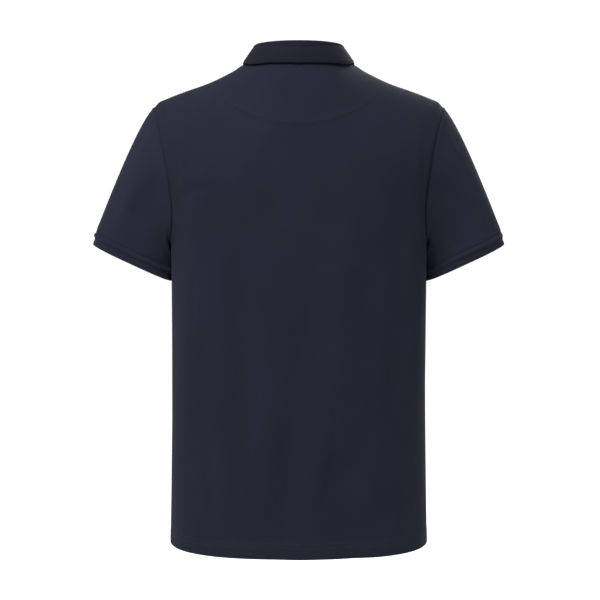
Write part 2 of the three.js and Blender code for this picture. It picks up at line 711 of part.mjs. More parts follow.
function asGeometry(solid) {
  const mesh = solid.getMesh();
  const geometry = new THREE.BufferGeometry();
  geometry.setAttribute("position", new THREE.BufferAttribute(mesh.vertProperties, 3));
  geometry.setIndex(new THREE.BufferAttribute(mesh.triVerts, 1));
  return geometry;
}

// A four-hole button with a raised rim, lying on the XY plane.
function buttonGeometry() {
  const { radius, thick, holeRadius, holeReach } = BUTTON;
  const profile = [
    [0, 0],
    [radius * 0.8, 0],
    [radius, thick * 0.45],
    [radius * 0.95, thick],
    [radius * 0.74, thick],
    [radius * 0.6, thick * 0.7],
    [0, thick * 0.65],
  ].map(([r, z]) => new THREE.Vector2(r, z));
  const disc = new THREE.LatheGeometry(profile, 24).rotateX(Math.PI / 2);
  let solid = asManifold(disc);
  for (const angle of [45, 135, 225, 315].map(radians)) {
    const hole = new THREE.CylinderGeometry(holeRadius, holeRadius, 3 * thick, 8)
      .rotateX(Math.PI / 2)
      .translate(holeReach * Math.cos(angle), holeReach * Math.sin(angle), 0);
    solid = solid.subtract(asManifold(hole));
  }
  return asGeometry(solid);
}

// Patch inside the back neck

function patchCloth() {
  const edgeHeight = (x) => PATCH.low + PATCH.radius - Math.sqrt(PATCH.radius ** 2 - x * x);
  const lowV = (u) => {
    let v = 1;
    while (v > V_MIDDLE) {
      const p = onCloth(back, u, v, 0);
      if (p.z < edgeHeight(p.x)) break;
      v -= 0.002;
    }
    return v;
  };
  const END = 0.62;
  const ROWS = 8;
  const TOP = 0.985;
  const columns = back.columns.filter((u) => Math.abs(u) < END);
  const rows = columns.map((u) => {
    const low = lowV(u);
    return Array.from({ length: ROWS + 1 }, (_, i) => lerp(low, TOP, i / ROWS));
  });
  const lift = -CLOTH - 2 * SEAM;
  return layer(back, rows, columns, lift, lift - PATCH.thick);
}

// The shirt

const pique = new THREE.MeshStandardMaterial({ color: 0x1b2030, roughness: 0.9, metalness: 0 });
const rib = new THREE.MeshStandardMaterial({ color: 0x181c2b, roughness: 0.92, metalness: 0 });
const horn = new THREE.MeshStandardMaterial({ color: 0x161a26, roughness: 0.35, metalness: 0 });

const shirt = new THREE.Group();

function add(name, geometry, material) {
  const mesh = new THREE.Mesh(geometry, material);
  mesh.name = name;
  shirt.add(mesh);
  return mesh;
}

add("back", wall(back.outer, back.inner), pique);
add("front", wall(front.outer, front.inner, { open: inSlit }), pique);

for (const [name, side] of [["left", 1], ["right", -1]]) {
  const sleeve = sleeveCloth(side);
  const cuff = cuffCloth(side, sleeve);
  add(`sleeve_${name}`, wall(sleeve.outer, sleeve.inner, { wrap: true }), pique);
  add(`cuff_${name}`, wall(cuff.outer, cuff.inner, { wrap: true }), rib);
}

const collar = collarCloth();
add("collar", wall(collar.outer, collar.inner), rib);

const overLift = SEAM + PLACKET.thick;
const over = placketStrip(SEAM, overLift);
add("placket_over", wall(over.outer, over.inner), pique);
const under = placketStrip(-CLOTH - SEAM, -CLOTH - SEAM - PLACKET.thick);
add("placket_under", wall(under.outer, under.inner), pique);

BUTTON.below.forEach((below, k) => {
  const v = downFromTop(front, 0, below);
  const foot = onCloth(front, 0, v, overLift + SEAM);
  const out = onCloth(front, 0, v, overLift + SEAM + 1).sub(foot);
  const button = add(`button_${k + 1}`, buttonGeometry(), horn);
  button.position.copy(foot);
  button.quaternion.setFromUnitVectors(point(0, 0, 1), out.normalize());
});

const patch = patchCloth();
add("neck_patch", wall(patch.outer, patch.inner), pique);

export default shirt;
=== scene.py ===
# A men's short-sleeved polo shirt in navy pique knit, filled out as if it were worn, from behind.
# Lengths are in millimetres until a mesh is made. The origin lies midway between the shoulder
# seams' neck points, +Z is up, the front faces -Y and the wearer's left side is +X.
import math

import bmesh
import bpy
import numpy as np
from mathutils import Matrix, Vector
from mathutils.bvhtree import BVHTree


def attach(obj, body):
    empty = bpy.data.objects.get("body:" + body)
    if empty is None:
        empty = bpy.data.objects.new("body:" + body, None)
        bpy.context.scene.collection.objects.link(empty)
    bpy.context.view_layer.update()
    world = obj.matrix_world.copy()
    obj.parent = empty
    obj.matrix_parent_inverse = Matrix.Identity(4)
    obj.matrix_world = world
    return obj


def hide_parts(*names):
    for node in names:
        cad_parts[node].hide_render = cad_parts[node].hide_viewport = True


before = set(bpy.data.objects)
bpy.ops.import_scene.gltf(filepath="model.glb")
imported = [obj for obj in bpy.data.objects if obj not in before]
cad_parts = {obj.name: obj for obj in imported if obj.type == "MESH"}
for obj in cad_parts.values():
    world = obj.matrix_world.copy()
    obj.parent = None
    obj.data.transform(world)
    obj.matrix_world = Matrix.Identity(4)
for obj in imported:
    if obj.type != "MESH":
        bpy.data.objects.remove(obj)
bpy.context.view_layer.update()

MM = 0.001


def table(columns, *rows):
    """Rows of values under named columns."""
    return [dict(zip(columns.split(), row)) for row in rows]


# Cloth and seams. A cut edge is rounded out by EDGE_ROUND of the cloth's thickness.
CLOTH = 1.4
RIB = 2.0
SEAM = 0.3
EDGE_ROUND = 0.4
HEM_TURN = 20
HEM_Z = -727
ARMPIT_Z = -272

# Shoulder and neck. A panel's u runs from the wearer's right to the left and its v from the hem up.
# The neckline ends at a u of NECK_SHARE, and the armhole's middle is at a v of V_MIDDLE.
NECK_HALF = 74
TIP_HALF = 218
SEAM_Y = -6
NECK_SHARE = 0.42
MIDDLE_WIDTH = 225
V_ARMPIT = 0.5
V_MIDDLE = 0.72
SQUARE_TOP = 2.6
NECK_DIP = 1.5
SCOOP_FROM = 0.55
ROUNDING = dict(neck=0.46, tip=0.55, reach=0.5, most_height=70, low_rise=0.5, low_lean=0.3, top_lean=1.1)

# Torso sections from the hem to the armpit, and the shoulder seam's height from neck to tip
TORSO = table(
    "at half back front square",
    (HEM_Z, 197, 127.5, 122, 2.55),
    (-640, 195, 122, 121, 2.65),
    (-500, 192.8, 118, 120, 2.6),
    (-360, 192.5, 116, 121, 2.6),
    (ARMPIT_Z, 193, 115, 123, 2.6),
)
SHOULDER = table(
    "at z",
    (NECK_HALF, 0),
    (82, -2.2),
    (90, -6.6),
    (98, -12.4),
    (128, -28),
    (168, -42),
    (200, -54.5),
    (TIP_HALF, -65),
)
BACK = dict(
    side=1,
    depth="back",
    middle=dict(x=190.5, y=58, z=-190, depth=112, scoop_in=4.5),
    neck=dict(y=58, z=-2, climb=54, seam_climb=7, climb_fall=1.3),
    neck_reach=108,
)
FRONT = dict(
    side=-1,
    depth="front",
    middle=dict(x=185, y=62, z=-195, depth=124, scoop_in=1),
    neck=dict(y=-66, z=-70, climb=62, seam_climb=16, climb_fall=2),
    neck_reach=127,
)

# Soft folds, as a cutter would chalk them: across is the distance from the centre line towards the
# wearer's left, at the fold's top and at its foot. A negative rise sinks in.
BACK_FOLDS = table(
    "top top_across foot foot_across wide rise bow",
    (-160, 141, -520, 166, 20, 4.5, 0),
    (-250, 119, -690, 108, 19, 4, 0),
    (-200, 84, -540, 80, 20, -3.5, 0),
    (-260, 45, -600, 52, 22, 2.5, 0),
    (-330, -14, -720, 30, 18, -3.5, 0),
    (-90, -80, -760, 4, 26, 5.5, -20),
    (-560, -50, -760, -84, 24, -4, 0),
    (-180, -150, -520, -144, 18, -3.5, 0),
    (-120, -182, -480, -172, 16, 3, 0),
)
FRONT_FOLDS = table(
    "top top_across foot foot_across wide rise bow",
    (-170, 120, -600, 138, 22, 4.5, 0),
    (-230, 78, -700, 92, 22, -3.5, 0),
    (-260, 30, -760, 52, 24, 4, 0),
    (-300, -12, -730, 2, 20, -3, 0),
    (-240, -58, -760, -44, 24, 4.5, 0),
    (-190, -108, -640, -96, 22, -3.5, 0),
    (-150, -146, -560, -158, 20, 4, 0),
)
FOLD_FADE = dict(top=0.97, over_top=0.1, over_side=0.12, over_start=0.22, end=1.12, over_end=0.3)

# Smaller creases: both ends as (across, height), their half width and their rise
BACK_CREASES = table(
    "start end wide rise",
    ((176, -205), (132, -188), 7, -1.6),
    ((180, -228), (150, -300), 8, 1.8),
    ((168, -250), (158, -410), 7, -1.8),
    ((-180, -222), (-156, -300), 8, 1.6),
    ((-168, -240), (-160, -400), 7, -2.0),
    ((-142, -170), (-92, -118), 9, 1.3),
    ((60, -420), (98, -640), 9, -1.4),
    ((-52, -470), (-22, -690), 8, -1.6),
    ((-120, -430), (-98, -650), 10, 1.5),
    ((132, -560), (146, -722), 9, -1.6),
    ((-148, -600), (-132, -722), 9, 1.6),
    ((12, -640), (0, -722), 9, 1.4),
    ((171, -136), (168, -186), 6, 1.9),
    ((182, -128), (181, -184), 5, -1.1),
    ((-172, -98), (-161, -190), 8, 1.7),
    ((-181, -128), (-178, -196), 5, -1.0),
)
FRONT_CREASES = table(
    "start end wide rise",
    ((174, -214), (118, -176), 8, -1.8),
    ((172, -240), (138, -330), 9, 1.9),
    ((-176, -220), (-128, -186), 8, -1.6),
    ((-170, -244), (-146, -350), 9, 1.7),
    ((30, -236), (64, -330), 10, 1.3),
    ((-34, -240), (-78, -372), 10, 1.5),
    ((104, -520), (122, -690), 9, -1.5),
    ((-18, -480), (-8, -660), 10, -1.3),
    ((-120, -560), (-108, -722), 9, 1.5),
    ((14, -600), (24, -722), 9, 1.4),
)
CREASE_FADE = dict(beyond=0.15, over=0.4, over_side=0.05)
CREASE_SWERVE = 0.06

# Low relief beside the seams, along the armholes and in the turned hem
SEAM_RIDGE = dict(at=7, wide=3.5)
ARMHOLE_RIDGE = dict(rise=0.9, at=10, wide=4.5, below=0.06, over=0.1)
HEM_FORM = dict(rise=0.35, over=2, groove=0.3, groove_at=19, groove_wide=1.6)
# How a panel's grid is evened out, and where its corners beside the neck are evened out further
EVEN_OUT = dict(times=6, share=0.5)
CORNER = dict(over_rows=0.1, start=0.16, over_start=0.12, end=0.8, over_end=0.2, times=60)

# Sleeve: the rings where the cuff is sewn on and of the cuff's free edge
SLEEVE_END = dict(outer=(310.5, -254.5), inner=(194.6, -309.5), y=-20, half_depth=45)
CUFF_END = dict(outer=(316, -273.5), inner=(195.4, -329.5), y=-21, half_depth=44)
SLEEVE_SQUARE = dict(outer=2.25, inner=3.2)
SLEEVE_TIP = dict(slope=40, lead=26, lean=0.4)
SLEEVE_UNDER = dict(slope=30, lead=5, lean=0.02)
SLEEVE_DROP = 0.42
CUFF_PROUD = 0.4
CUFF_FOLLOW = 0.85

# Sleeve folds: around is the share of the way from the top line to the underarm, behind positive
# and in front negative. They run down the sleeve between two shares of its length.
SLEEVE_FOLDS = table(
    "around drift start end wide rise",
    (0.21, 0.08, 0, 0.5, 0.035, 1.5),
    (0.32, 0.05, 0.10, 1.1, 0.07, 1.8),
    (0.52, -0.06, 0.08, 0.9, 0.08, -3.2),
    (0.72, 0.02, 0.25, 1.1, 0.07, 1.6),
    (0.87, 0, 0.42, 1.4, 0.08, 5.2),
    (-0.28, -0.05, 0.10, 1.0, 0.07, 1.6),
    (-0.47, 0.05, 0.15, 1.1, 0.08, -2.4),
    (-0.68, -0.03, 0.25, 1.0, 0.07, 1.8),
)
SLEEVE_FADE = dict(over_start=0.3, over_end=0.25, over_seam=3)

# The cuff's raised band, and the hollows below it and at its seam, by shares of its depth
CUFF_RIDGE = dict(rise=1.5, at=0.27, wide=0.15)
CUFF_HOLLOWS = table("depth at wide", (0.8, 0.6, 0.14), (0.3, 0, 0.09))
CUFF_UNEVEN = table("share waves shift", (0.28, 8.3, 1), (0.16, 21, 2))

# Collar sections from the centre back (0) to the centre front (1): the height and lean of the
# stand, and where the fall's edge lies in the floor plan
COLLAR = table(
    "at top lean x y",
    (0, 27, 5, 0, 63),
    (0.12, 27, 5.5, 31, 58),
    (0.24, 26.5, 6.5, 56.5, 43),
    (0.36, 25.5, 8.5, 74.5, 19.5),
    (0.46, 23, 10, 82, -6),
    (0.56, 12, 11, 81, -29),
    (0.7, -10, 11, 72, -55),
    (0.85, -31, 10, 53, -79),
    (1, -45, 9, 32, -97),
)
COLLAR_LIFT = dict(sides=3.6, front=5, front_from=0.6)
COLLAR_NECK_AT = 0.46
COLLAR_END = 0.992
ROLL = 2.6
STAND = dict(lean=0.3, straight=0.4)
FALL_BULGE = 2
FALL_LENGTH = 30
COLLAR_EVEN_OUT = dict(times=3, share=0.4)
COLLAR_CREASE = dict(depth=1.1, wide=1.3, low=6.5, half=62, over_top=2, from_y=-5, over_y=30)
COLLAR_WELT = dict(rise=0.6, wide=0.9, up=4.5)

# Placket, buttons and the patch inside the back neck
PLACKET = dict(half=16, length=150, slit=11, thick=2, below_slit=4, box=12)
STRIP_V = dict(foot=0.0012, rows_from=0.006, top=0.994)
BUTTON = dict(radius=5.6, thick=2.6, hole_radius=0.8, hole_reach=1.5, below=(20, 70, 120))
BUTTONHOLE = dict(length=14, half_u=0.0045)
PATCH = dict(low=-96, radius=174, thick=1.2, end_u=0.6, row_end_u=0.56, top_v=0.985)

# Sewing: stitch rows lie this far inside the edge or seam that they hold
HEM_ROWS = (17.4, 20.6)
SHOULDER_ROW = 6
PATCH_ROW = 2
PLACKET_ROW = 2.2
STITCH = dict(pitch=3.0, length=2.2, width=0.5)
FINE_STITCH = dict(pitch=0.55, length=1.7, width=0.45)
BUTTON_THREAD = dict(pitch=0.35, length=0.9, width=0.45)
STITCH_LIFT = -0.06

# The puckers along the seams: how far each reaches into the cloth, the height of the hem's above
# the hem, and how far to each side those of the patch go
PUCKER = dict(side=9, hem=11, hem_at=15, cuff=8, patch=5, patch_half=112)


def lerp(a, b, t):
    return a + (b - a) * t


def ease(t):
    t = np.clip(t, 0, 1)
    return t * t * (3 - 2 * t)


def hump(distance, width):
    """A soft rise that is 1 at no distance, and nearly gone at twice its width."""
    return np.exp(-((distance / width) ** 2))


def unit(v):
    return v / np.maximum(np.linalg.norm(v, axis=-1, keepdims=True), 1e-9)


def square_to(v, way):
    """The direction of v without its share along a way."""
    return unit(v - way * np.sum(v * way, -1, keepdims=True))


def xyz(x, y, z):
    """Points from their coordinates, where one number may stand for all."""
    return np.stack(np.broadcast_arrays(x, y, z), -1)


def walked(line):
    """The distance along a line of points to each of them."""
    return np.concatenate([[0], np.cumsum(np.linalg.norm(np.diff(line, axis=0), axis=1))])


def column(rows, at, name):
    """The value of one column of a table at places between its rows, curved through them."""
    xs = np.array([row["at"] for row in rows], float)
    ys = np.array([row[name] for row in rows], float)
    at = np.asarray(at, float)
    slopes = np.empty(len(xs))
    slopes[1:-1] = (ys[2:] - ys[:-2]) / (xs[2:] - xs[:-2])
    slopes[0] = (ys[1] - ys[0]) / (xs[1] - xs[0])
    slopes[-1] = (ys[-1] - ys[-2]) / (xs[-1] - xs[-2])
    i = np.searchsorted(xs[1:-1], at)
    span = xs[i + 1] - xs[i]
    t = np.clip((at - xs[i]) / span, 0, 1)
    start = (2 * t**3 - 3 * t**2 + 1) * ys[i] + (t**3 - 2 * t**2 + t) * span * slopes[i]
    end = (3 * t**2 - 2 * t**3) * ys[i + 1] + (t**3 - t**2) * span * slopes[i + 1]
    return start + end


def bezier(p0, p1, p2, p3, t):
    s = 1 - t
    return s**3 * p0 + 3 * s * s * t * p1 + 3 * s * t * t * p2 + t**3 * p3


def shares(stops, steps):
    """Shares between the given stops, in the given numbers of steps."""
    parts = [np.linspace(a, b, n + 1)[1:] for a, b, n in zip(stops, stops[1:], steps)]
    return np.concatenate([[stops[0]], *parts])


# Cloth of the front and back panels


def on_section(half, depth, square, end, across):
    """Points of a rounded-square section, at shares of the girth from its middle to the end."""
    angle = np.linspace(0, end, 500)
    x = half * np.sin(angle) ** (2 / square)
    y = depth * np.maximum(0, np.cos(angle)) ** (2 / square)
    along = walked(np.stack([x, y], -1))
    return np.interp(along[-1] * across, along, x), np.interp(along[-1] * across, along, y)


def torso_row(cut, across, v):
    level = lerp(HEM_Z, ARMPIT_Z, v / V_ARMPIT)
    half, depth, square = (column(TORSO, level, name) for name in ("half", cut["depth"], "square"))
    x, y = on_section(half, depth, square, math.pi / 2, across)
    return xyz(x, cut["side"] * y, level)


def armhole_row(cut, across, rise):
    """A row between the armpit (0) and the middle of the armhole (1)."""
    arm = cut["middle"]
    armpit = TORSO[-1]
    turn = rise * math.pi / 2
    square = lerp(armpit["square"], SQUARE_TOP, rise)
    depth = lerp(armpit[cut["depth"]], arm["depth"], rise)
    middle_cos = min(1, arm["y"] / arm["depth"]) ** (square / 2)
    middle_sin = math.sqrt(1 - middle_cos**2)
    half = lerp(armpit["half"], arm["x"] / middle_sin ** (2 / square), rise)
    half = half - arm["scoop_in"] * math.sin(math.pi * rise)
    end = math.acos(min(1, arm["y"] * math.sin(turn) / depth) ** (square / 2))
    x, y = on_section(half, depth, square, end, across)
    straight = lerp(ARMPIT_Z, arm["z"], rise)
    scooped = lerp(arm["z"], ARMPIT_Z, math.cos(turn))
    z = lerp(straight, scooped, ease((across - SCOOP_FROM) / (1 - SCOOP_FROM)))
    return xyz(x, cut["side"] * y, z)


def top_edge(cut, across):
    """The neckline up to its share of the half panel's columns, then the shoulder seam."""
    on_seam = np.clip((across - NECK_SHARE) / (1 - NECK_SHARE), 0, 1)
    seam_x = lerp(NECK_HALF, TIP_HALF, on_seam)
    seam_z = column(SHOULDER, seam_x, "z")
    reach = MIDDLE_WIDTH * NECK_SHARE
    bend = (cut["neck_reach"] - reach) / NECK_SHARE**3
    a = np.minimum(across, NECK_SHARE)
    angle = (MIDDLE_WIDTH * a + bend * a**3) / cut["neck_reach"] * math.pi / 2
    cos = np.maximum(0, np.cos(angle))
    seam = across >= NECK_SHARE
    x = np.where(seam, seam_x, NECK_HALF * np.sin(angle))
    y = np.where(seam, SEAM_Y, SEAM_Y + (cut["neck"]["y"] - SEAM_Y) * cos)
    z = np.where(seam, seam_z, cut["neck"]["z"] * cos**NECK_DIP)
    return xyz(x, y, z)


def form(cut, us, vs):
    """A panel's bare form, as a grid of points."""
    across = np.abs(us)
    low_row = armhole_row(cut, across, 1)
    top = top_edge(cut, across)
    high = top[:, 2] - low_row[:, 2]
    deep = np.abs(top[:, 1] - low_row[:, 1])
    beyond_neck = np.clip((across - NECK_SHARE) / ROUNDING["reach"], 0, 1)
    neck = cut["neck"]
    by_neck = lerp(neck["climb"], neck["seam_climb"], (across / NECK_SHARE) ** neck["climb_fall"])
    by_seam = neck["seam_climb"] * (1 - ease(beyond_neck))
    climb = np.radians(np.where(across < NECK_SHARE, by_neck, by_seam))
    rounding = lerp(ROUNDING["neck"], ROUNDING["tip"], beyond_neck)
    handle = rounding * lerp(deep, np.minimum(high, ROUNDING["most_height"]), np.sin(climb))
    low_x = lerp(low_row[:, 0], top[:, 0], ROUNDING["low_lean"])
    low = xyz(low_x, low_row[:, 1], low_row[:, 2] + ROUNDING["low_rise"] * high)
    near_x = lerp(low_row[:, 0], top[:, 0], ROUNDING["top_lean"])
    near_y = top[:, 1] + cut["side"] * handle * np.cos(climb)
    near = xyz(near_x, near_y, top[:, 2] - handle * np.sin(climb))
    rows = []
    for v in vs:
        if v <= V_ARMPIT:
            rows.append(torso_row(cut, across, v))
        elif v <= V_MIDDLE:
            rows.append(armhole_row(cut, across, (v - V_ARMPIT) / (V_MIDDLE - V_ARMPIT)))
        else:
            rows.append(bezier(low_row, low, near, top, (v - V_MIDDLE) / (1 - V_MIDDLE)))
    points = np.stack(rows)
    points[:, :, 0] *= np.where(us < 0, -1, 1)
    points[:, :, 1] += cut["side"] * SEAM / 2
    return points


def grid_normals(points, facing, wrap=False):
    """Normals of a grid of points, by the directions to its neighbours."""
    up = np.gradient(points, axis=0)
    if wrap:
        right = np.roll(points, -1, axis=1) - np.roll(points, 1, axis=1)
    else:
        right = np.gradient(points, axis=1)
    return unit(np.cross(right, up)) * facing


def relax(points, times, share, axis):
    """Moves each point of a grid a share of the way to the middle of its neighbours on one axis."""
    grid = np.moveaxis(points, axis, 0)
    share = np.moveaxis(np.broadcast_to(share, points.shape[:2] + (1,)), axis, 0)[1:-1]
    for _ in range(times):
        grid[1:-1] = lerp(grid[1:-1], (grid[:-2] + grid[2:]) / 2, share)
    return points


def soften(points, us, vs):
    """Evens out a panel's grid, and then the corners between the neckline and the shoulder seams."""
    inside = np.zeros(points.shape[:2] + (1,))
    inside[1:-1, 1:-1] = EVEN_OUT["share"]
    across = np.abs(us)
    by_row = ease((vs - V_MIDDLE) / CORNER["over_rows"])
    by_column = ease((across - CORNER["start"]) / CORNER["over_start"])
    by_column = by_column * ease((CORNER["end"] - across) / CORNER["over_end"])
    by_corner = inside * by_row[:, None, None] * by_column[None, :, None]
    relax(points, EVEN_OUT["times"], inside, 0)
    return relax(points, CORNER["times"], by_corner, 1)


def fold_rise(folds, points, us, vs):
    near_top = ease((FOLD_FADE["top"] - vs) / FOLD_FADE["over_top"])[:, None]
    near_side = ease((1 - np.abs(us)) / FOLD_FADE["over_side"])[None, :]
    x, z = points[:, :, 0], points[:, :, 2]
    rise = np.zeros_like(x)
    for fold in folds:
        t = (z - fold["top"]) / (fold["foot"] - fold["top"])
        fade = ease(t / FOLD_FADE["over_start"]) * ease((FOLD_FADE["end"] - t) / FOLD_FADE["over_end"])
        bow = fold["bow"] * 4 * t * (1 - t)
        centre = lerp(fold["top_across"], fold["foot_across"], t) + bow
        rise += fold["rise"] * fade * hump(x - centre, fold["wide"])
    return rise * near_top * near_side


def crease_rise(creases, points, us):
    """Short creases, each along its own line and fading at both ends."""
    x, z = points[:, :, 0], points[:, :, 2]
    beyond, over = CREASE_FADE["beyond"], CREASE_FADE["over"]
    rise = np.zeros_like(x)
    for crease in creases:
        start = np.array(crease["start"], float)
        way = crease["end"] - start
        length = np.linalg.norm(way)
        along = ((x - start[0]) * way[0] + (z - start[1]) * way[1]) / length**2
        off = ((x - start[0]) * way[1] - (z - start[1]) * way[0]) / length
        swerve = CREASE_SWERVE * length * np.sin(math.pi * along)
        fade = ease((along + beyond) / over) * ease((1 + beyond - along) / over)
        rise += crease["rise"] * fade * hump(off - swerve, crease["wide"])
    return rise * ease((1 - np.abs(us)) / CREASE_FADE["over_side"])[None, :]


def seam_dip(distance, depth=1.3, width=3, ridge=0.6):
    """Cloth rolls in towards a seam, and stands a little proud just beside it."""
    return ridge * hump(distance - SEAM_RIDGE["at"], SEAM_RIDGE["wide"]) - depth * hump(distance, width)


# The rows and columns of a panel's grid, closest together at its edges
HEM_V = HEM_TURN / (ARMPIT_Z - HEM_Z) * V_ARMPIT
SLIT_SHARE = PLACKET["slit"] / MIDDLE_WIDTH
PLACKET_SHARE = PLACKET["half"] / MIDDLE_WIDTH
PANEL_ROWS = np.concatenate(
    [
        [0, HEM_V * 0.06, HEM_V * 0.2, HEM_V * 0.5, HEM_V * 0.8, HEM_V],
        shares([HEM_V * 1.02, V_ARMPIT], [94]),
        shares([V_ARMPIT, V_MIDDLE, 1], [24, 56])[1:],
    ]
)
HALF_COLUMNS = np.concatenate(
    [
        shares([0, SLIT_SHARE, PLACKET_SHARE, NECK_SHARE, 0.97], [4, 2, 30, 40]),
        [0.98, 0.988, 0.994, 1],
    ]
)
PANEL_COLUMNS = np.concatenate([-HALF_COLUMNS[:0:-1], HALF_COLUMNS])
ARMPIT_ROW = int(np.argmin(np.abs(PANEL_ROWS - V_ARMPIT)))
FROM_SIDE = (1 - np.abs(PANEL_COLUMNS))[None, :] * MIDDLE_WIDTH


def panel_cloth(cut, folds, creases):
    us, vs = PANEL_COLUMNS, PANEL_ROWS
    facing = -cut["side"]
    ridge, hem = ARMHOLE_RIDGE, HEM_FORM
    bare = soften(form(cut, us, vs), us, vs)
    height = bare[:, :, 2] - HEM_Z
    by_armhole = ease((vs - V_ARMPIT + ridge["below"]) / ridge["over"])[:, None]
    rise = fold_rise(folds, bare, us, vs) + crease_rise(creases, bare, us) + seam_dip(FROM_SIDE)
    rise = rise + ridge["rise"] * by_armhole * hump(FROM_SIDE - ridge["at"], ridge["wide"])
    rise = rise + hem["rise"] * ease((HEM_TURN + hem["over"] - height) / hem["over"])
    rise = rise - hem["groove"] * hump(height - hem["groove_at"], hem["groove_wide"])
    outer = bare + grid_normals(bare, facing) * rise[:, :, None]
    normals = grid_normals(outer, facing)
    seam_rows = np.arange(len(vs)) <= ARMPIT_ROW
    for j in (0, -1):
        normals[seam_rows, j, 1] = 0
    normals[-1, np.abs(us) >= NECK_SHARE, 1] = 0
    normals = unit(normals)
    thick = np.where(vs <= HEM_V + 1e-9, 2 * CLOTH, CLOTH)[:, None, None]
    return dict(outer=outer, inner=outer - normals * thick, normals=normals)


def on_cloth(cloth, u, v, lift):
    """Points on a panel's grid, moved out from it."""
    u, v = np.broadcast_arrays(np.asarray(u, float), np.asarray(v, float))

    def cell(stops, at):
        k = np.clip(np.searchsorted(stops, at, side="right") - 1, 0, len(stops) - 2)
        return k, ((at - stops[k]) / (stops[k + 1] - stops[k]))[..., None]

    i, s = cell(PANEL_ROWS, v)
    j, t = cell(PANEL_COLUMNS, u)

    def mix(grid):
        low = lerp(grid[i, j], grid[i, j + 1], t)
        return lerp(low, lerp(grid[i + 1, j], grid[i + 1, j + 1], t), s)

    return mix(cloth["outer"]) + unit(mix(cloth["normals"])) * lift


def v_down_from_top(cloth, u, distance):
    """The v that lies a distance down a panel's column from its top edge."""
    vs = np.linspace(1, 0, 1500)
    return np.interp(distance, walked(on_cloth(cloth, u, vs, 0)), vs)


# Cloth of the sleeves and cuffs


def armhole_ring(back, front, side):
    """From the shoulder tip down the back to the armpit and up the front."""
    j = -1 if side > 0 else 0
    top = len(PANEL_ROWS) - 1
    down = range(top - 1, ARMPIT_ROW, -1)
    even = np.linspace(0, 1, 73)

    def line(cloth):
        ends = [(back["outer"][i, j] + front["outer"][i, j]) / 2 for i in (top, ARMPIT_ROW)]
        faces = [unit(back["normals"][i, j] + front["normals"][i, j]) for i in (top, ARMPIT_ROW)]
        points = np.array([ends[0], *(cloth["outer"][i, j] for i in down), ends[1]])
        normals = np.array([faces[0], *(cloth["normals"][i, j] for i in down), faces[1]])
        share = walked(points) / walked(points)[-1]
        spread = lambda values: np.stack([np.interp(even, share, c) for c in values.T], -1)
        return spread(points), spread(normals), even

    behind, before = line(back), line(front)
    both = [np.concatenate([a, b[-2:0:-1]]) for a, b in zip(behind, before)]
    is_behind = np.arange(len(both[0])) < len(behind[0])
    return both[0], unit(both[1]), both[2], is_behind


def ring_points(ring, side, share, behind):
    """Points of a sleeve's ring, at shares of the way from its outer end to its inner end."""
    angle = share * math.pi
    square = lerp(SLEEVE_SQUARE["outer"], SLEEVE_SQUARE["inner"], share)
    shape = lambda value: np.sign(value) * np.abs(value) ** (2 / square)
    along = (1 - shape(np.cos(angle))) / 2
    x = side * lerp(ring["outer"][0], ring["inner"][0], along)
    z = lerp(ring["outer"][1], ring["inner"][1], along)
    y = ring["y"] + np.where(behind, 1, -1) * ring["half_depth"] * shape(np.sin(angle))
    return xyz(x, y, z)


def sleeve_axis(side):
    outer, inner = SLEEVE_END["outer"], SLEEVE_END["inner"]
    return unit(np.array([side * (outer[1] - inner[1]), 0, inner[0] - outer[0]]))


SLEEVE_ROWS = np.concatenate([[0, 0.008, 0.018, 0.03], shares([0.045, 0.99], [56]), [1]])
CUFF_ROWS = np.concatenate([[0, 0.04], shares([0.08, 0.92], [16]), [0.96, 1]])


def sleeve_cloth(back, front, side):
    points, body_normals, share, behind = armhole_ring(back, front, side)
    along = unit(np.roll(points, -1, axis=0) - np.roll(points, 1, axis=0))
    tip, under = SLEEVE_TIP, SLEEVE_UNDER
    slope = np.radians(lerp(tip["slope"], under["slope"], share))
    leave = square_to(xyz(side * np.cos(slope), 0, -np.sin(slope)), along)
    face = np.cross(leave, along) * side
    clear = SEAM + np.maximum(0, -CLOTH * np.sum(body_normals * leave, -1))
    start = points + leave * clear[:, None]
    end = ring_points(SLEEVE_END, side, share, behind)
    reach = np.linalg.norm(end - start, axis=-1)
    hang = unit(xyz(side * lerp(tip["lean"], under["lean"], share**2), 0, -1))
    lead = start + leave * lerp(tip["lead"], under["lead"], share)[:, None]
    trail = end - hang * (SLEEVE_DROP * reach)[:, None]
    bare = np.stack([bezier(start, lead, trail, end, s) for s in SLEEVE_ROWS])
    normals = grid_normals(bare, -side, wrap=True)
    normals[0] = face
    around = np.where(behind, share, -share)[None, :]
    down = SLEEVE_ROWS[:, None]
    rise = np.zeros(bare.shape[:2])
    for fold in SLEEVE_FOLDS:
        fade = ease((down - fold["start"]) / SLEEVE_FADE["over_start"])
        fade = fade * ease((fold["end"] - down) / SLEEVE_FADE["over_end"])
        centre = fold["around"] + fold["drift"] * down
        rise += fold["rise"] * fade * hump(around - centre, fold["wide"])
    from_seam = down * reach[None, :]
    rise = rise + seam_dip(from_seam, depth=0, ridge=0.8) * ease(from_seam / SLEEVE_FADE["over_seam"])
    rise = rise + seam_dip((1 - down) * reach[None, :], depth=0.5, width=1.8, ridge=0.3)
    rise[0] = 0
    outer = bare + normals * rise[:, :, None]
    normals = grid_normals(outer, -side, wrap=True)
    normals[0] = face
    normals[-1] = square_to(normals[-1], sleeve_axis(side))
    return dict(
        outer=outer,
        inner=outer - normals * CLOTH,
        normals=normals,
        share=share,
        behind=behind,
        end_shift=outer[-1] - bare[-1],
    )


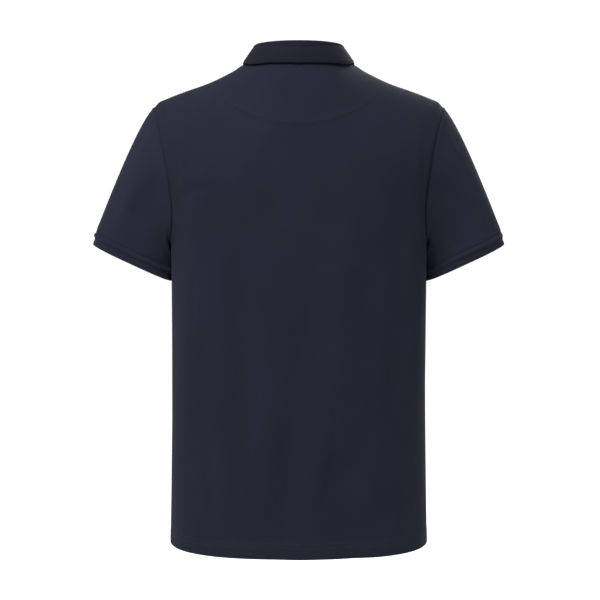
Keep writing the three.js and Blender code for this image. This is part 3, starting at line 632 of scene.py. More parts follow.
def cuff_cloth(sleeve, side):
    share, behind = sleeve["share"], sleeve["behind"]
    foot = ring_points(CUFF_END, side, share, behind) + CUFF_FOLLOW * sleeve["end_shift"]
    head = sleeve["outer"][-1] + sleeve_axis(side) * SEAM + sleeve["normals"][-1] * CUFF_PROUD
    outer = np.stack([lerp(head, foot, t) for t in CUFF_ROWS])
    normals = grid_normals(outer, -side, wrap=True)
    normals[0] = sleeve["normals"][-1]
    around = np.where(behind, share, 2 - share)
    uneven = 1 + sum(w["share"] * np.sin(w["waves"] * around + w["shift"] * side) for w in CUFF_UNEVEN)
    ridge = CUFF_RIDGE["rise"] * hump(CUFF_ROWS - CUFF_RIDGE["at"], CUFF_RIDGE["wide"])
    hollow = sum(part["depth"] * hump(CUFF_ROWS - part["at"], part["wide"]) for part in CUFF_HOLLOWS)
    roll = ridge[:, None] * uneven[None, :] - hollow[:, None]
    outer = outer + normals * roll[:, :, None]
    return dict(outer=outer, inner=outer - normals * RIB, normals=normals)


# Cloth of the collar


class Shirt:
    """The top of the shirt, for laying the collar's edge on it."""

    def __init__(self, panels):
        points, normals, self.faces = [], [], []
        for cloth in panels:
            grid = cloth["outer"][ARMPIT_ROW:]
            rows, cols = grid.shape[:2]
            first = len(points)
            points.extend(grid.reshape(-1, 3).tolist())
            normals.append(cloth["normals"][ARMPIT_ROW:].reshape(-1, 3))
            for i in range(rows - 1):
                for j in range(cols - 1):
                    a = first + i * cols + j
                    self.faces.append((a, a + 1, a + cols + 1, a + cols))
        self.normals = np.concatenate(normals)
        self.points = np.array(points)
        self.tree = BVHTree.FromPolygons(points, self.faces)

    def under(self, x, y):
        """The cloth below a point of the floor plan, with its normal."""
        above, off_centre, blunt = 500, 0.01, 0.2
        for nudge in (0, SEAM, -SEAM):
            start = Vector((x + off_centre, y + nudge, above))
            hit, _, index, _ = self.tree.ray_cast(start, Vector((0, 0, -1)))
            if hit:
                break
        corners = list(self.faces[index])
        near = 1 / (np.linalg.norm(self.points[corners] - np.array(hit), axis=1) + blunt)
        return np.array(hit), unit((self.normals[corners] * near[:, None]).sum(0))


def neckline(panels, at):
    """A point of the neckline, with the ways along it, across it and level from the neck."""
    back, front = panels
    behind = at <= COLLAR_NECK_AT
    cloth, other = (back, front) if behind else (front, back)
    way = at / COLLAR_NECK_AT if behind else (1 - at) / (1 - COLLAR_NECK_AT)
    u = NECK_SHARE * way
    step, blend_over = 0.01, 0.03
    edge = lambda share: on_cloth(cloth, min(share, NECK_SHARE), 1, 0)
    normal_on = lambda panel: on_cloth(panel, u, 1, 1) - on_cloth(panel, u, 1, 0)
    blend = 0.5 * ease((u - NECK_SHARE + blend_over) / blend_over)
    normal = unit(lerp(normal_on(cloth), normal_on(other), blend))
    along = unit(edge(u + step) - edge(u - step))
    across = unit(np.cross(normal, along)) * (-1 if behind else 1)
    p = edge(u)
    depth = (BACK if behind else FRONT)["neck"]["y"] - SEAM_Y
    outward = unit(np.array([p[0] / NECK_HALF**2, (p[1] - SEAM_Y) / depth**2, 0]))
    return p, normal, along, across, outward


STAND_ROWS = shares([0, 1], [14])
ROLL_ROWS = shares([0, 1], [10])[1:]
FALL_ROWS = np.concatenate([shares([0, 0.93], [24])[1:], [0.96, 0.985, 1]])


def collar_section(panels, shirt, at):
    """The middle of the rib, from the neck seam up the stand, over the fold and down."""
    seam, normal, along, across, outward = neckline(panels, at)
    rise = square_to(np.array([0, 0, 1]) - outward * STAND["lean"], along)
    clear = SEAM + max(0, RIB / 2 * rise.dot(normal))
    base = seam - normal * CLOTH / 2 + across * clear
    top = base - outward * column(COLLAR, at, "lean")
    top[2] = column(COLLAR, at, "top") - ROLL - RIB / 2
    bend = base + rise * STAND["straight"] * np.linalg.norm(top - base)
    curve = lambda a, b, c, t: lerp(lerp(a, b, t), lerp(b, c, t), t)
    rows = [curve(base, bend, top, t) for t in STAND_ROWS]
    for t in ROLL_ROWS:
        angle = math.pi * (1 - t)
        rolled = top + outward * ROLL * (1 + math.cos(angle))
        rows.append(rolled + np.array([0, 0, ROLL * math.sin(angle)]))
    start = rows[-1]
    hit, face = shirt.under(float(column(COLLAR, at, "x")), float(column(COLLAR, at, "y")))
    front_from = COLLAR_LIFT["front_from"]
    lift = lerp(COLLAR_LIFT["sides"], COLLAR_LIFT["front"], ease((at - front_from) / (1 - front_from)))
    edge = hit + face * lift
    bulge = lerp(start, edge, 0.5) + outward * FALL_BULGE
    rows.extend(curve(start, bulge, edge, t) for t in FALL_ROWS)
    return np.array(rows)


def collar_cloth(panels, shirt):
    """The collar's rib. The face that shows has a crease below the fold and a welt above the edge."""
    places = np.concatenate([shares([0, COLLAR_NECK_AT, 0.97], [34, 40]), [0.98, 0.987, COLLAR_END]])
    left = np.stack([collar_section(panels, shirt, at) for at in places], 1)
    right = left[:, :0:-1] * np.array([-1, 1, 1])
    middle = relax(np.concatenate([right, left], 1), axis=1, **COLLAR_EVEN_OUT)
    normals = grid_normals(middle, -1)
    fall = np.concatenate([np.zeros(len(STAND_ROWS) + len(ROLL_ROWS)), FALL_ROWS])
    below = fall[:, None] * FALL_LENGTH
    crease, welt = COLLAR_CREASE, COLLAR_WELT
    behind = ease((middle[:, :, 1] - crease["from_y"]) / crease["over_y"])
    line = crease["low"] * (1 - np.clip(np.abs(middle[:, :, 0]) / crease["half"], 0, 1) ** 2)
    sunk = crease["depth"] * behind * hump(below - line, crease["wide"]) * ease(below / crease["over_top"])
    raised = welt["rise"] * hump(below - FALL_LENGTH + welt["up"], welt["wide"])
    outer = middle + normals * RIB / 2
    inner = middle - normals * (RIB / 2 - sunk + raised)[:, :, None]
    return dict(outer=outer, inner=inner, normals=normals)


# Meshes


def lengths_along(points, axis, middle=0):
    """Distances along the rows (axis 1) or columns (axis 0) of a grid, from one of their points."""
    along = np.cumsum(np.linalg.norm(np.diff(points, axis=axis), axis=-1), axis=axis)
    along = np.concatenate([np.zeros_like(np.take(along, [0], axis=axis)), along], axis)
    return along - np.take(along, [middle], axis=axis)


def wall(name, cloth, wrap=False, left_out=None, near_seam=None):
    """A closed wall of cloth between two grids of points, with rounded edges."""
    outer, inner = cloth["outer"], cloth["inner"]
    rows, cols = outer.shape[:2]
    around = np.concatenate([outer, outer[:, :1]], 1) if wrap else outer
    across = lengths_along(around, 1, 0 if wrap else cols // 2)
    down = lengths_along(around, 0).mean(1, keepdims=True) + 0 * across
    uv = np.stack([across, down], -1) * MM
    cell_cols = cols if wrap else cols - 1
    keep = np.ones((rows - 1, cell_cols), bool)
    if left_out is not None:
        keep &= ~left_out
    faces, face_uvs, mids, extra = [], [], {}, []

    def add(ids, corners):
        faces.append(ids)
        face_uvs.append([uv[i, j] for i, j in corners])

    def top_id(i, j):
        return i * cols + j % cols

    def low_id(i, j):
        return rows * cols + top_id(i, j)

    def mid_id(i, j, di, dj):
        """A point halfway through the wall, which rounds the edge out."""
        key = (i, j % cols)
        if key not in mids:
            a, b = outer[key], inner[key]
            way = unit(a - outer[np.clip(i - di, 0, rows - 1), (j - dj) % cols])
            mids[key] = len(extra)
            extra.append((a + b) / 2 + way * np.linalg.norm(a - b) * EDGE_ROUND)
        return 2 * rows * cols + mids[key]

    def rim(a, b, di, dj):
        mid_a, mid_b = mid_id(*a, di, dj), mid_id(*b, di, dj)
        add((top_id(*b), top_id(*a), mid_a, mid_b), (b, a, a, b))
        add((mid_b, mid_a, low_id(*a), low_id(*b)), (b, a, a, b))

    def open_at(i, j):
        return not (0 <= i < rows - 1 and 0 <= j < cell_cols and keep[i, j])

    for i, j in np.argwhere(keep).tolist():
        a, b, c, d = (i, j), (i, j + 1), (i + 1, j + 1), (i + 1, j)
        add([top_id(*k) for k in (a, b, c, d)], (a, b, c, d))
        add([low_id(*k) for k in (a, d, c, b)], (a, d, c, b))
        if open_at(i - 1, j):
            rim(a, b, -1, 0)
        if open_at(i + 1, j):
            rim(c, d, 1, 0)
        if not wrap and open_at(i, j - 1):
            rim(d, a, 0, -1)
        if not wrap and open_at(i, j + 1):
            rim(b, c, 0, 1)
    vertices = np.concatenate([outer.reshape(-1, 3), inner.reshape(-1, 3), extra]) * MM
    mesh = bpy.data.meshes.new(name)
    mesh.from_pydata(vertices.tolist(), [], faces)
    layer = mesh.uv_layers.new(name="cloth")
    layer.data.foreach_set("uv", np.array(face_uvs, np.float32).ravel())
    if near_seam is not None:
        flat = near_seam.ravel()
        marks = np.concatenate([flat, flat, [near_seam[key] for key in mids]])
        mark = mesh.attributes.new("near_seam", "FLOAT", "POINT")
        mark.data.foreach_set("value", marks.astype(np.float32))
    clean_mesh(mesh)
    return add_piece(name, mesh)


def clean_mesh(mesh):
    """Drops loose points, and turns the faces outwards if they point in."""
    work = bmesh.new()
    work.from_mesh(mesh)
    loose = [v for v in work.verts if not v.link_faces]
    bmesh.ops.delete(work, geom=loose, context="VERTS")
    if work.calc_volume(signed=True) < 0:
        bmesh.ops.reverse_faces(work, faces=work.faces)
    work.to_mesh(mesh)
    work.free()
    mesh.shade_smooth()


def add_piece(name, mesh):
    piece = bpy.data.objects.new(name, mesh)
    bpy.context.scene.collection.objects.link(piece)
    return piece


# Node trees

FLOAT = "NodeSocketFloat"
VECTOR = "NodeSocketVector"
GEOMETRY = "NodeSocketGeometry"
MATERIAL = "NodeSocketMaterial"


def new_group(name, inputs, outputs, kind="ShaderNodeTree"):
    """A node group, with the sockets that it is given and those that it makes."""
    group = bpy.data.node_groups.new(name, kind)
    for way, sockets in (("INPUT", inputs), ("OUTPUT", outputs)):
        for label, socket_type in sockets.items():
            group.interface.new_socket(label, in_out=way, socket_type=socket_type)
    return group, group.nodes.new("NodeGroupInput").outputs, group.nodes.new("NodeGroupOutput").inputs


class Desk:
    """Places nodes in a tree, sets them and links them."""

    def __init__(self, tree):
        self.tree = tree

    def feed(self, socket, value):
        if isinstance(value, bpy.types.NodeSocket):
            self.tree.links.new(value, socket)
        else:
            socket.default_value = value

    def node(self, kind, inputs=(), **settings):
        made = self.tree.nodes.new(kind)
        for name, value in settings.items():
            setattr(made, name, value)
        for name, value in dict(inputs).items():
            self.feed(made.inputs[name], value)
        return made

    def out(self, kind, inputs=(), **settings):
        return self.node(kind, inputs, **settings).outputs[0]

    def math(self, operation, *values):
        return self.out("ShaderNodeMath", enumerate(values), operation=operation)

    def noise(self, vector, scale, detail=2, roughness=0.5):
        values = {"Vector": vector, "Scale": scale, "Detail": detail, "Roughness": roughness}
        return self.out("ShaderNodeTexNoise", values)

    def span(self, value, low, high, to_low, to_high):
        values = {"Value": value, "From Min": low, "From Max": high, "To Min": to_low, "To Max": to_high}
        return self.out("ShaderNodeMapRange", values)

    def mix(self, factor, dark, light):
        values = {"Factor": factor, "A": dark, "B": light}
        return self.node("ShaderNodeMix", values, data_type="RGBA").outputs["Result"]

    def turns(self, value, length):
        """The angle that a wave of the given length has come to."""
        return self.math("MULTIPLY", self.math("DIVIDE", value, length), math.tau)


# Sewing


def thread_tree():
    """Geometry nodes that lay one stitch after another along every path."""
    inputs = {"Paths": GEOMETRY, "Pitch": FLOAT, "Length": FLOAT, "Width": FLOAT, "Thread": MATERIAL}
    tree, given, made = new_group("stitches along a path", inputs, {"Stitches": GEOMETRY}, "GeometryNodeTree")
    desk = Desk(tree)
    curve = desk.out("GeometryNodeMeshToCurve", {"Mesh": given["Paths"]})
    spread = {"Curve": curve, "Length": given["Pitch"]}
    points = desk.out("GeometryNodeResampleCurve", spread, mode="LENGTH")
    ball = desk.out("GeometryNodeMeshUVSphere", {"Segments": 6, "Rings": 4, "Radius": 0.5})
    tangent = desk.out("GeometryNodeInputTangent")
    turn = desk.out("FunctionNodeAlignRotationToVector", {"Vector": tangent}, axis="Z")
    size = {"X": given["Width"], "Y": given["Width"], "Z": given["Length"]}
    scale = desk.out("ShaderNodeCombineXYZ", size)
    stitch = {"Points": points, "Instance": ball, "Rotation": turn, "Scale": scale}
    laid = desk.out("GeometryNodeInstanceOnPoints", stitch)
    real = desk.out("GeometryNodeRealizeInstances", {"Geometry": laid})
    dressed = desk.out("GeometryNodeSetMaterial", {"Geometry": real, "Material": given["Thread"]})
    desk.feed(made["Stitches"], dressed)
    return tree


def sew(name, paths, stitch, thread, tree):
    """Stitches along paths, each a list of points, as one plain mesh."""
    vertices, edges = [], []
    for path in paths:
        first = len(vertices)
        vertices.extend((np.asarray(path) * MM).tolist())
        edges.extend((first + k, first + k + 1) for k in range(len(path) - 1))
    line = bpy.data.meshes.new(name + " path")
    line.from_pydata(vertices, edges, [])
    guide = add_piece(name + " path", line)
    modifier = guide.modifiers.new("stitches", "NODES")
    modifier.node_group = tree
    values = {key.capitalize(): size * MM for key, size in stitch.items()}
    values["Thread"] = thread
    for item in tree.interface.items_tree:
        if item.name in values:
            modifier[item.identifier] = values[item.name]
    evaluated = guide.evaluated_get(bpy.context.evaluated_depsgraph_get())
    mesh = bpy.data.meshes.new_from_object(evaluated)
    mesh.name = name
    bpy.data.objects.remove(guide)
    mesh.shade_smooth()
    return add_piece(name, mesh)


# Finishes

PIQUE_CELL = {"Cell Width": 0.0013, "Cell Height": 0.0012}
RIB_CELL = {"Rib Width": 0.0016, "Loop Height": 0.001}
PIQUE_RELIEF = 0.00012
RIB_RELIEF = 0.00014
PUCKER_RELIEF = 0.0022
SHEEN_TINT = (0.45, 0.5, 0.75, 1)
THREAD_DYE = (0.0115, 0.013, 0.0235)
BUTTON_DARK = (0.012, 0.015, 0.028, 1)
BUTTON_LIGHT = (0.035, 0.042, 0.07, 1)
# The colour of each knit, between its loops and on them. The sleeve and cuff copies are lighter than the body
# pique and the collar rib: painted light, standing in for the light that falls on the sleeves and cuffs.
KNIT_TONES_WITH_PAINTED_LIGHT = table(
    "kind name dark light",
    ("body", "navy pique", (0.0046, 0.0052, 0.0099, 1), (0.0089, 0.0101, 0.0182, 1)),
    ("sleeve", "sleeve pique", (0.0054, 0.0061, 0.0115, 1), (0.0104, 0.0117, 0.0211, 1)),
    ("collar", "navy collar rib", (0.0035, 0.0037, 0.0072, 1), (0.0069, 0.0071, 0.0131, 1)),
    ("cuff", "navy cuff rib", (0.0059, 0.0061, 0.0118, 1), (0.0114, 0.0118, 0.0215, 1)),
)
RIBBED = ("collar", "cuff")


def pique_pattern(desk, given, x, y):
    """Staggered tuck stitches: small nubs in rows, each half a cell beside the last."""
    uneven = desk.span(desk.noise(given["Place"], 160), 0, 1, -0.0003, 0.0003)
    wave_x = desk.math("COSINE", desk.turns(desk.math("ADD", x, uneven), given["Cell Width"]))
    wave_y = desk.math("COSINE", desk.turns(desk.math("ADD", y, uneven), given["Cell Height"]))
    nub = desk.math("MULTIPLY", wave_x, wave_y)
    return nub, nub


def rib_pattern(desk, given, x, y):
    """Ribs that run down from the seam, made of small stacked loops."""
    turn = desk.turns(x, given["Rib Width"])
    rib = desk.math("COSINE", turn)
    slant = desk.math("ABSOLUTE", desk.math("SINE", desk.math("MULTIPLY", turn, 0.5)))
    slant = desk.math("MULTIPLY", slant, 1.6)
    loops = desk.math("SINE", desk.math("ADD", desk.turns(y, given["Loop Height"]), slant))
    return rib, desk.math("ADD", rib, desk.math("MULTIPLY", loops, 0.25))


def knit_group(name, cell, pattern, fuzz_share):
    """A knit's relief with the fuzz on it, and the shade of its loops and uneven yarn."""
    inputs = {"Place": VECTOR, **dict.fromkeys(cell, FLOAT)}
    group, given, made = new_group(name, inputs, {"Height": FLOAT, "Shade": FLOAT})
    desk = Desk(group)
    place = given["Place"]
    parts = desk.node("ShaderNodeSeparateXYZ", {0: place}).outputs
    coarse, relief = pattern(desk, given, parts["X"], parts["Y"])
    fuzz = desk.math("MULTIPLY", desk.noise(place, 2600, detail=3, roughness=0.6), fuzz_share)
    desk.feed(made["Height"], desk.math("ADD", relief, fuzz))
    yarn = desk.noise(place, 900, roughness=0.6)
    shade = desk.math("ADD", desk.math("MULTIPLY", coarse, 0.5), yarn)
    desk.feed(made["Shade"], desk.span(shade, -0.5, 1.5, 0, 1))
    return group


def new_finish(name):
    """A material, the desk for its nodes and the inputs of its shader."""
    finish = bpy.data.materials.new(name)
    finish.use_nodes = True
    return finish, Desk(finish.node_tree), finish.node_tree.nodes["Principled BSDF"].inputs


def knit_finish(name, group, cell, dark, light, relief):
    """A knitted cloth: its colour, its loops and the soft puckers along its seams."""
    finish, desk, shader = new_finish(name)
    place = desk.out("ShaderNodeUVMap", uv_map="cloth")
    knit = desk.node("ShaderNodeGroup", node_tree=group)
    for label, value in {"Place": place, **cell}.items():
        desk.feed(knit.inputs[label], value)
    shade = knit.outputs["Shade"]
    spot = desk.node("ShaderNodeTexCoord").outputs["Object"]
    worn = desk.span(desk.noise(spot, 14, detail=3, roughness=0.55), 0.3, 0.7, -0.12, 0.12)
    desk.feed(shader["Base Color"], desk.mix(desk.math("ADD", shade, worn), dark, light))
    desk.feed(shader["Roughness"], desk.span(shade, 0, 1, 0.95, 0.82))
    shader["Specular IOR Level"].default_value = 0.06
    shader["Sheen Weight"].default_value = 0.01
    shader["Sheen Roughness"].default_value = 0.45
    shader["Sheen Tint"].default_value = SHEEN_TINT
    seam = desk.node("ShaderNodeAttribute", attribute_name="near_seam").outputs["Fac"]
    pucker = desk.math("MULTIPLY", desk.noise(place, 95), seam)
    soft = desk.math("MULTIPLY", pucker, PUCKER_RELIEF)
    height = desk.math("ADD", soft, desk.math("MULTIPLY", knit.outputs["Height"], relief))
    bump = desk.node("ShaderNodeBump", {"Distance": 1, "Strength": 1, "Height": height})
    desk.feed(shader["Normal"], bump.outputs["Normal"])
    return finish


def thread_finish():
    finish, desk, shader = new_finish("sewing thread")
    twist = desk.noise(desk.node("ShaderNodeTexCoord").outputs["Object"], 3000)
    dark, light = (tuple(share * c for c in THREAD_DYE) + (1,) for share in (0.8, 1.2))
    desk.feed(shader["Base Color"], desk.mix(twist, dark, light))
    shader["Roughness"].default_value = 0.75
    shader["Specular IOR Level"].default_value = 0.2
    return finish


def button_finish():
    """Navy plastic with faint clouds in it, as polished buttons have."""
    finish, desk, shader = new_finish("button plastic")
    spot = desk.node("ShaderNodeTexCoord").outputs["Object"]
    cloud = desk.noise(spot, 420, detail=4, roughness=0.6)
    desk.feed(shader["Base Color"], desk.mix(desk.span(cloud, 0.35, 0.7, 0, 1), BUTTON_DARK, BUTTON_LIGHT))
    desk.feed(shader["Roughness"], desk.span(cloud, 0.3, 0.8, 0.24, 0.36))
    shader["Coat Weight"].default_value = 0.3
    return finish


# Buttons

# Half of the button's section from its back to its face, as shares of its radius and thickness
BUTTON_SECTION = [
    (0.78, 0.0),
    (0.94, 0.14),
    (1.0, 0.45),
    (0.99, 0.75),
    (0.93, 0.96),
    (0.85, 1.0),
    (0.76, 0.96),
    (0.68, 0.78),
    (0.6, 0.7),
]
BUTTON_SIDES = 48


def button_mesh():
    """A four-hole button with a raised rim, on the XY plane and facing +Z."""
    radius, thick, steps = BUTTON["radius"], BUTTON["thick"], BUTTON_SIDES
    vertices, faces = [], []
    for r, z in BUTTON_SECTION:
        for k in range(steps):
            angle = math.tau * k / steps
            vertices.append((radius * r * math.cos(angle), radius * r * math.sin(angle), thick * z))
    last = (len(BUTTON_SECTION) - 1) * steps
    for first in range(0, last, steps):
        for k in range(steps):
            n = (k + 1) % steps
            faces.append((first + k, first + n, first + steps + n, first + steps + k))
    faces.append(tuple(reversed(range(steps))))
    faces.append(tuple(range(last, last + steps)))
    mesh = bpy.data.meshes.new("button")
    mesh.from_pydata((np.array(vertices) * MM).tolist(), [], faces)
    disc = add_piece("button blank", mesh)
    drills = []
    for degrees in (45, 135, 225, 315):
        reach, way = BUTTON["hole_reach"] * MM, math.radians(degrees)
        at = (reach * math.cos(way), reach * math.sin(way), 0)
        size = dict(radius=BUTTON["hole_radius"] * MM, depth=3 * thick * MM)
        bpy.ops.mesh.primitive_cylinder_add(vertices=20, location=at, **size)
        cut = disc.modifiers.new("hole", "BOOLEAN")
        cut.operation = "DIFFERENCE"
        cut.object = bpy.context.object
        drills.append(cut.object)
    evaluated = disc.evaluated_get(bpy.context.evaluated_depsgraph_get())
    finished = bpy.data.meshes.new_from_object(evaluated)
    for used in [disc, *drills]:
        bpy.data.objects.remove(used)
    return finished


def button_place(front, below, lift):
    v = v_down_from_top(front, 0, below)
    foot = on_cloth(front, 0, v, lift)
    out = on_cloth(front, 0, v, lift + 1) - foot
    turn = Vector((0, 0, 1)).rotation_difference(Vector(out)).to_matrix().to_4x4()
    return Matrix.Translation(Vector(foot) * MM) @ turn


# Making the panels

back = panel_cloth(BACK, BACK_FOLDS, BACK_CREASES)
front = panel_cloth(FRONT, FRONT_FOLDS, FRONT_CREASES)
panels = (back, front)
sheets = []


def add_sheet(piece, node, flat, held="hung", area=None):
    """Notes a piece of cloth with its node and flat size. The piece and node are put in the part's frame; the
    flat size, hold and area are not used.
    """
    sheets.append(dict(piece=piece, node=node, flat=flat, held=held, area=area))


def patch_arc(x):
    """The height of the patch's lower edge."""
    return PATCH["low"] + PATCH["radius"] - np.sqrt(np.maximum(0, PATCH["radius"] ** 2 - x * x))


def seam_closeness(cloth):
    """How near each point of a panel is to a sewn seam or row of stitches, from 0 to 1."""
    height = cloth["outer"][:, :, 2] - HEM_Z
    return np.maximum(hump(FROM_SIDE, PUCKER["side"]), hump(height - PUCKER["hem_at"], PUCKER["hem"]))


def patch_closeness(cloth):
    x, z = cloth["outer"][:, :, 0], cloth["outer"][:, :, 2]
    return hump(z - patch_arc(x) - PATCH_ROW, PUCKER["patch"]) * (np.abs(x) < PUCKER["patch_half"])


slit_foot_v = v_down_from_top(front, 0, PLACKET["length"])
middles = (PANEL_COLUMNS[:-1] + PANEL_COLUMNS[1:]) / 2
slit_cells = (np.abs(middles)[None, :] < SLIT_SHARE) & (PANEL_ROWS[:-1] > slit_foot_v)[:, None]
back_seams = np.maximum(seam_closeness(back), patch_closeness(back))
back_piece = wall("back_panel", back, near_seam=back_seams)
front_piece = wall("front_panel", front, left_out=slit_cells, near_seam=seam_closeness(front))
add_sheet(back_piece, "back", (0.53, 0.745), area=0.362)
add_sheet(front_piece, "front", (0.53, 0.745), area=0.352)

# Making the sleeves, cuffs and collar

for word, side in (("left", 1), ("right", -1)):
    sleeve = sleeve_cloth(back, front, side)
    from_seam = lengths_along(sleeve["outer"], 0)
    near = np.maximum(hump(from_seam, PUCKER["side"]), hump(from_seam[-1] - from_seam, PUCKER["cuff"]))
    sleeve_piece = wall("sleeve_cloth_" + word, sleeve, wrap=True, near_seam=near)
    cuff_piece = wall("cuff_rib_" + word, cuff_cloth(sleeve, side), wrap=True)
    add_sheet(sleeve_piece, "sleeve_" + word, (0.42, 0.24), area=0.048)
    add_sheet(cuff_piece, "cuff_" + word, (0.36, 0.02))
collar_piece = wall("collar_rib", collar_cloth(panels, Shirt(panels)))
add_sheet(collar_piece, "collar", (0.44, 0.085), held="folded", area=0.0312)

# Making the placket strips and the patch


def layer_on(cloth, us, vs, lift_out, lift_in):
    """A layer that lies on a panel, between two distances from its outer face."""
    return dict(outer=on_cloth(cloth, us, vs, lift_out), inner=on_cloth(cloth, us, vs, lift_in))


strip_end = PLACKET["length"] + PLACKET["below_slit"]
strip_us = np.concatenate([[-1, -0.97], shares([-0.9, 0.9], [16]), [0.97, 1]]) * PLACKET_SHARE
strip_foot = v_down_from_top(front, 0, strip_end)
strip_rows = np.linspace(strip_foot + STRIP_V["rows_from"], STRIP_V["top"], 60)
strip_vs = np.concatenate([[strip_foot, strip_foot + STRIP_V["foot"]], strip_rows])
strip_grid = np.meshgrid(strip_us, strip_vs)
over_lift = SEAM + PLACKET["thick"]
under_lift = -CLOTH - SEAM
over_piece = wall("placket_outer_strip", layer_on(front, *strip_grid, over_lift, SEAM))
under_cloth = layer_on(front, *strip_grid, under_lift, under_lift - PLACKET["thick"])
under_piece = wall("placket_inner_strip", under_cloth)
add_sheet(over_piece, "placket_over", (0.032, 0.15), held="laid")
add_sheet(under_piece, "placket_under", (0.032, 0.15), held="laid")


def patch_low_v(u):
    """The v at which a column of the back panel meets the patch's lower edge."""
    vs = np.linspace(1, V_MIDDLE, 400)
    line = on_cloth(back, u, vs, 0)
    below = np.nonzero(line[:, 2] < patch_arc(line[:, 0]))[0]
    return vs[below[0]] if len(below) else V_MIDDLE


patch_us = np.linspace(-PATCH["end_u"], PATCH["end_u"], 61)
patch_lows = np.array([patch_low_v(u) for u in patch_us])
patch_v = lerp(patch_lows[None, :], PATCH["top_v"], np.linspace(0, 1, 25)[:, None])
patch_lift = -CLOTH - 2 * SEAM
patch_cloth = layer_on(back, patch_us[None, :], patch_v, patch_lift, patch_lift - PATCH["thick"])
patch_piece = wall("neck_patch_cloth", patch_cloth)
add_sheet(patch_piece, "neck_patch", (0.26, 0.11), held="laid", area=0.0238)

# Stitch rows

paths = []
for cloth in panels:
    for height in HEM_ROWS:
        v = height / (ARMPIT_Z - HEM_Z) * V_ARMPIT
        paths.append(on_cloth(cloth, np.linspace(-0.995, 0.995, 300), v, STITCH_LIFT))
for side in (1, -1):
    us = np.linspace(NECK_SHARE + 0.01, 0.99, 60) * side
    vs = np.array([v_down_from_top(back, u, SHOULDER_ROW) for u in us])
    paths.append(on_cloth(back, us, vs, STITCH_LIFT))
arc_us = np.linspace(-PATCH["row_end_u"], PATCH["row_end_u"], 120)
arc_row_v = PATCH_ROW / -BACK["middle"]["z"] * (1 - V_MIDDLE)
arc_vs = np.array([patch_low_v(u) for u in arc_us]) + arc_row_v
paths.append(on_cloth(back, arc_us, arc_vs, STITCH_LIFT))
on_strip = over_lift + STITCH_LIFT
inset = PLACKET_SHARE * (1 - PLACKET_ROW / PLACKET["half"])
box_v = v_down_from_top(front, 0, strip_end - PLACKET_ROW)
box_top_v = v_down_from_top(front, 0, strip_end - PLACKET["box"])
for u in (-inset, inset):
    paths.append(on_cloth(front, u, np.linspace(box_v, 0.99, 80), on_strip))
for v in (box_v, box_top_v):
    paths.append(on_cloth(front, np.linspace(-inset, inset, 14), v, on_strip))
thread = thread_finish()
tree = thread_tree()
seams_piece = sew("topstitching", paths, STITCH, thread, tree)

hole_paths = []
for below in BUTTON["below"]:
    ends = [v_down_from_top(front, 0, below + BUTTONHOLE["length"] * s) for s in (-0.5, 0.5)]
    for u in (-BUTTONHOLE["half_u"], BUTTONHOLE["half_u"]):
        hole_paths.append(on_cloth(front, u, np.linspace(*ends, 20), on_strip))
holes_piece = sew("buttonholes", hole_paths, FINE_STITCH, thread, tree)

# Buttons, each held by two strands of thread from hole to hole and on into the holes

buttons, tie_paths = [], []
blank = button_mesh()
plastic = button_finish()
reach = BUTTON["hole_reach"] * math.sqrt(0.5)
high, low = BUTTON["thick"] * 0.73, BUTTON["thick"] * 0.2
for k, below in enumerate(BUTTON["below"]):
    place = button_place(front, below, over_lift + SEAM)
    mesh = blank.copy()
    mesh.transform(place)
    mesh.materials.clear()
    mesh.materials.append(plastic)
    mesh.shade_smooth()
    mesh.set_sharp_from_angle(angle=math.radians(40))
    buttons.append(add_piece("shirt_button_%d" % (k + 1), mesh))
    for x in (-reach, reach):
        strand = [(x, -reach, low), (x, -0.8 * reach, high), (x, 0.8 * reach, high), (x, reach, low)]
        tie_paths.append([np.array(place @ (Vector(p) * MM)) / MM for p in strand])
ties_piece = sew("button_threads", tie_paths, BUTTON_THREAD, thread, tree)

# Putting the pieces in the part's frame

pique = knit_group("pique knit", PIQUE_CELL, pique_pattern, 0.8)
rib = knit_group("rib knit", RIB_CELL, rib_pattern, 0.6)
finishes = {}
# The sleeve and cuff finishes carry painted light: they are lighter copies of the body pique and the collar
# rib.
for knit_tone in KNIT_TONES_WITH_PAINTED_LIGHT:
    ribbed = knit_tone["kind"] in RIBBED
    group, cell, relief = (rib, RIB_CELL, RIB_RELIEF) if ribbed else (pique, PIQUE_CELL, PIQUE_RELIEF)
    finishes[knit_tone["kind"]] = knit_finish(knit_tone["name"], group, cell, knit_tone["dark"], knit_tone["light"], relief)

for entry in sheets:
    piece = entry["piece"]
    kind = entry["node"].split("_")[0]
    piece.data.materials.append(finishes.get(kind, finishes["body"]))
    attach(piece, "root")
    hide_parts(entry["node"])
for k, piece in enumerate(buttons):
    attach(piece, "root")
    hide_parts("button_%d" % (k + 1))
for piece in (seams_piece, holes_piece, ties_piece):
    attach(piece, "root")

# The studio, in metres

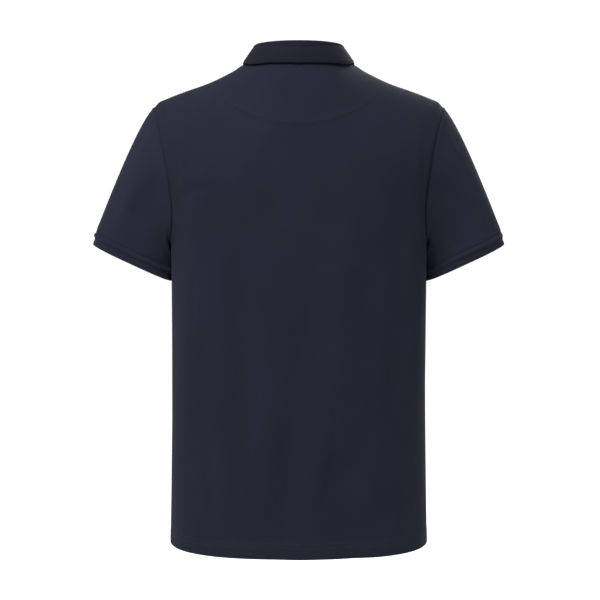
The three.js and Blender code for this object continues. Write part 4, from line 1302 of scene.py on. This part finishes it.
FLOOR_Z = -1.45
FLOOR_HALF = 30
PALE = (0.93, 0.93, 0.93, 1)
WHITE = (1, 1, 1, 1)
ROOM_LIGHT = 1.1
LIGHTS = table(
    "name place target size power",
    ("key", (1.2, 1.9, 2.2), (0.05, 0, -0.2), 1.2, 122),
    ("above", (0.9, 1.5, 2.4), (0.1, 0, -0.1), 1.6, 66),
    ("fill in front", (-1.2, -2.2, 1.2), (0, 0, -0.35), 1.4, 70),
)
CAMERA_PLACE = (-0.0020, 2.040, -0.205)
CAMERA_PITCH = 4.314
LENS = 80.4
SENSOR = 36

signs = ((-1, -1), (1, -1), (1, 1), (-1, 1))
floor_mesh = bpy.data.meshes.new("floor")
floor_mesh.from_pydata([(x * FLOOR_HALF, y * FLOOR_HALF, FLOOR_Z) for x, y in signs], [], [(0, 1, 2, 3)])
floor = add_piece("floor", floor_mesh)
pale, _, pale_shader = new_finish("pale floor")
pale_shader["Base Color"].default_value = PALE
pale_shader["Roughness"].default_value = 0.9
floor_mesh.materials.append(pale)

world = bpy.data.worlds.new("soft white room")
world.use_nodes = True
world.node_tree.nodes["Background"].inputs["Color"].default_value = WHITE
world.node_tree.nodes["Background"].inputs["Strength"].default_value = ROOM_LIGHT
bpy.context.scene.world = world

for row in LIGHTS:
    lamp = bpy.data.lights.new(row["name"], "AREA")
    lamp.shape = "DISK"
    lamp.size = row["size"]
    lamp.energy = row["power"]
    light = bpy.data.objects.new(row["name"], lamp)
    light.location = row["place"]
    way = Vector(row["target"]) - Vector(row["place"])
    light.rotation_euler = way.to_track_quat("-Z", "Y").to_euler()
    bpy.context.scene.collection.objects.link(light)

lens = bpy.data.cameras.new("camera")
lens.lens = LENS
lens.sensor_width = SENSOR
camera = bpy.data.objects.new("camera", lens)
camera.location = CAMERA_PLACE
camera.rotation_euler = (math.radians(90 - CAMERA_PITCH), 0, math.pi)
bpy.context.scene.collection.objects.link(camera)
bpy.context.scene.camera = camera
bpy.context.scene.view_settings.view_transform = "Standard"
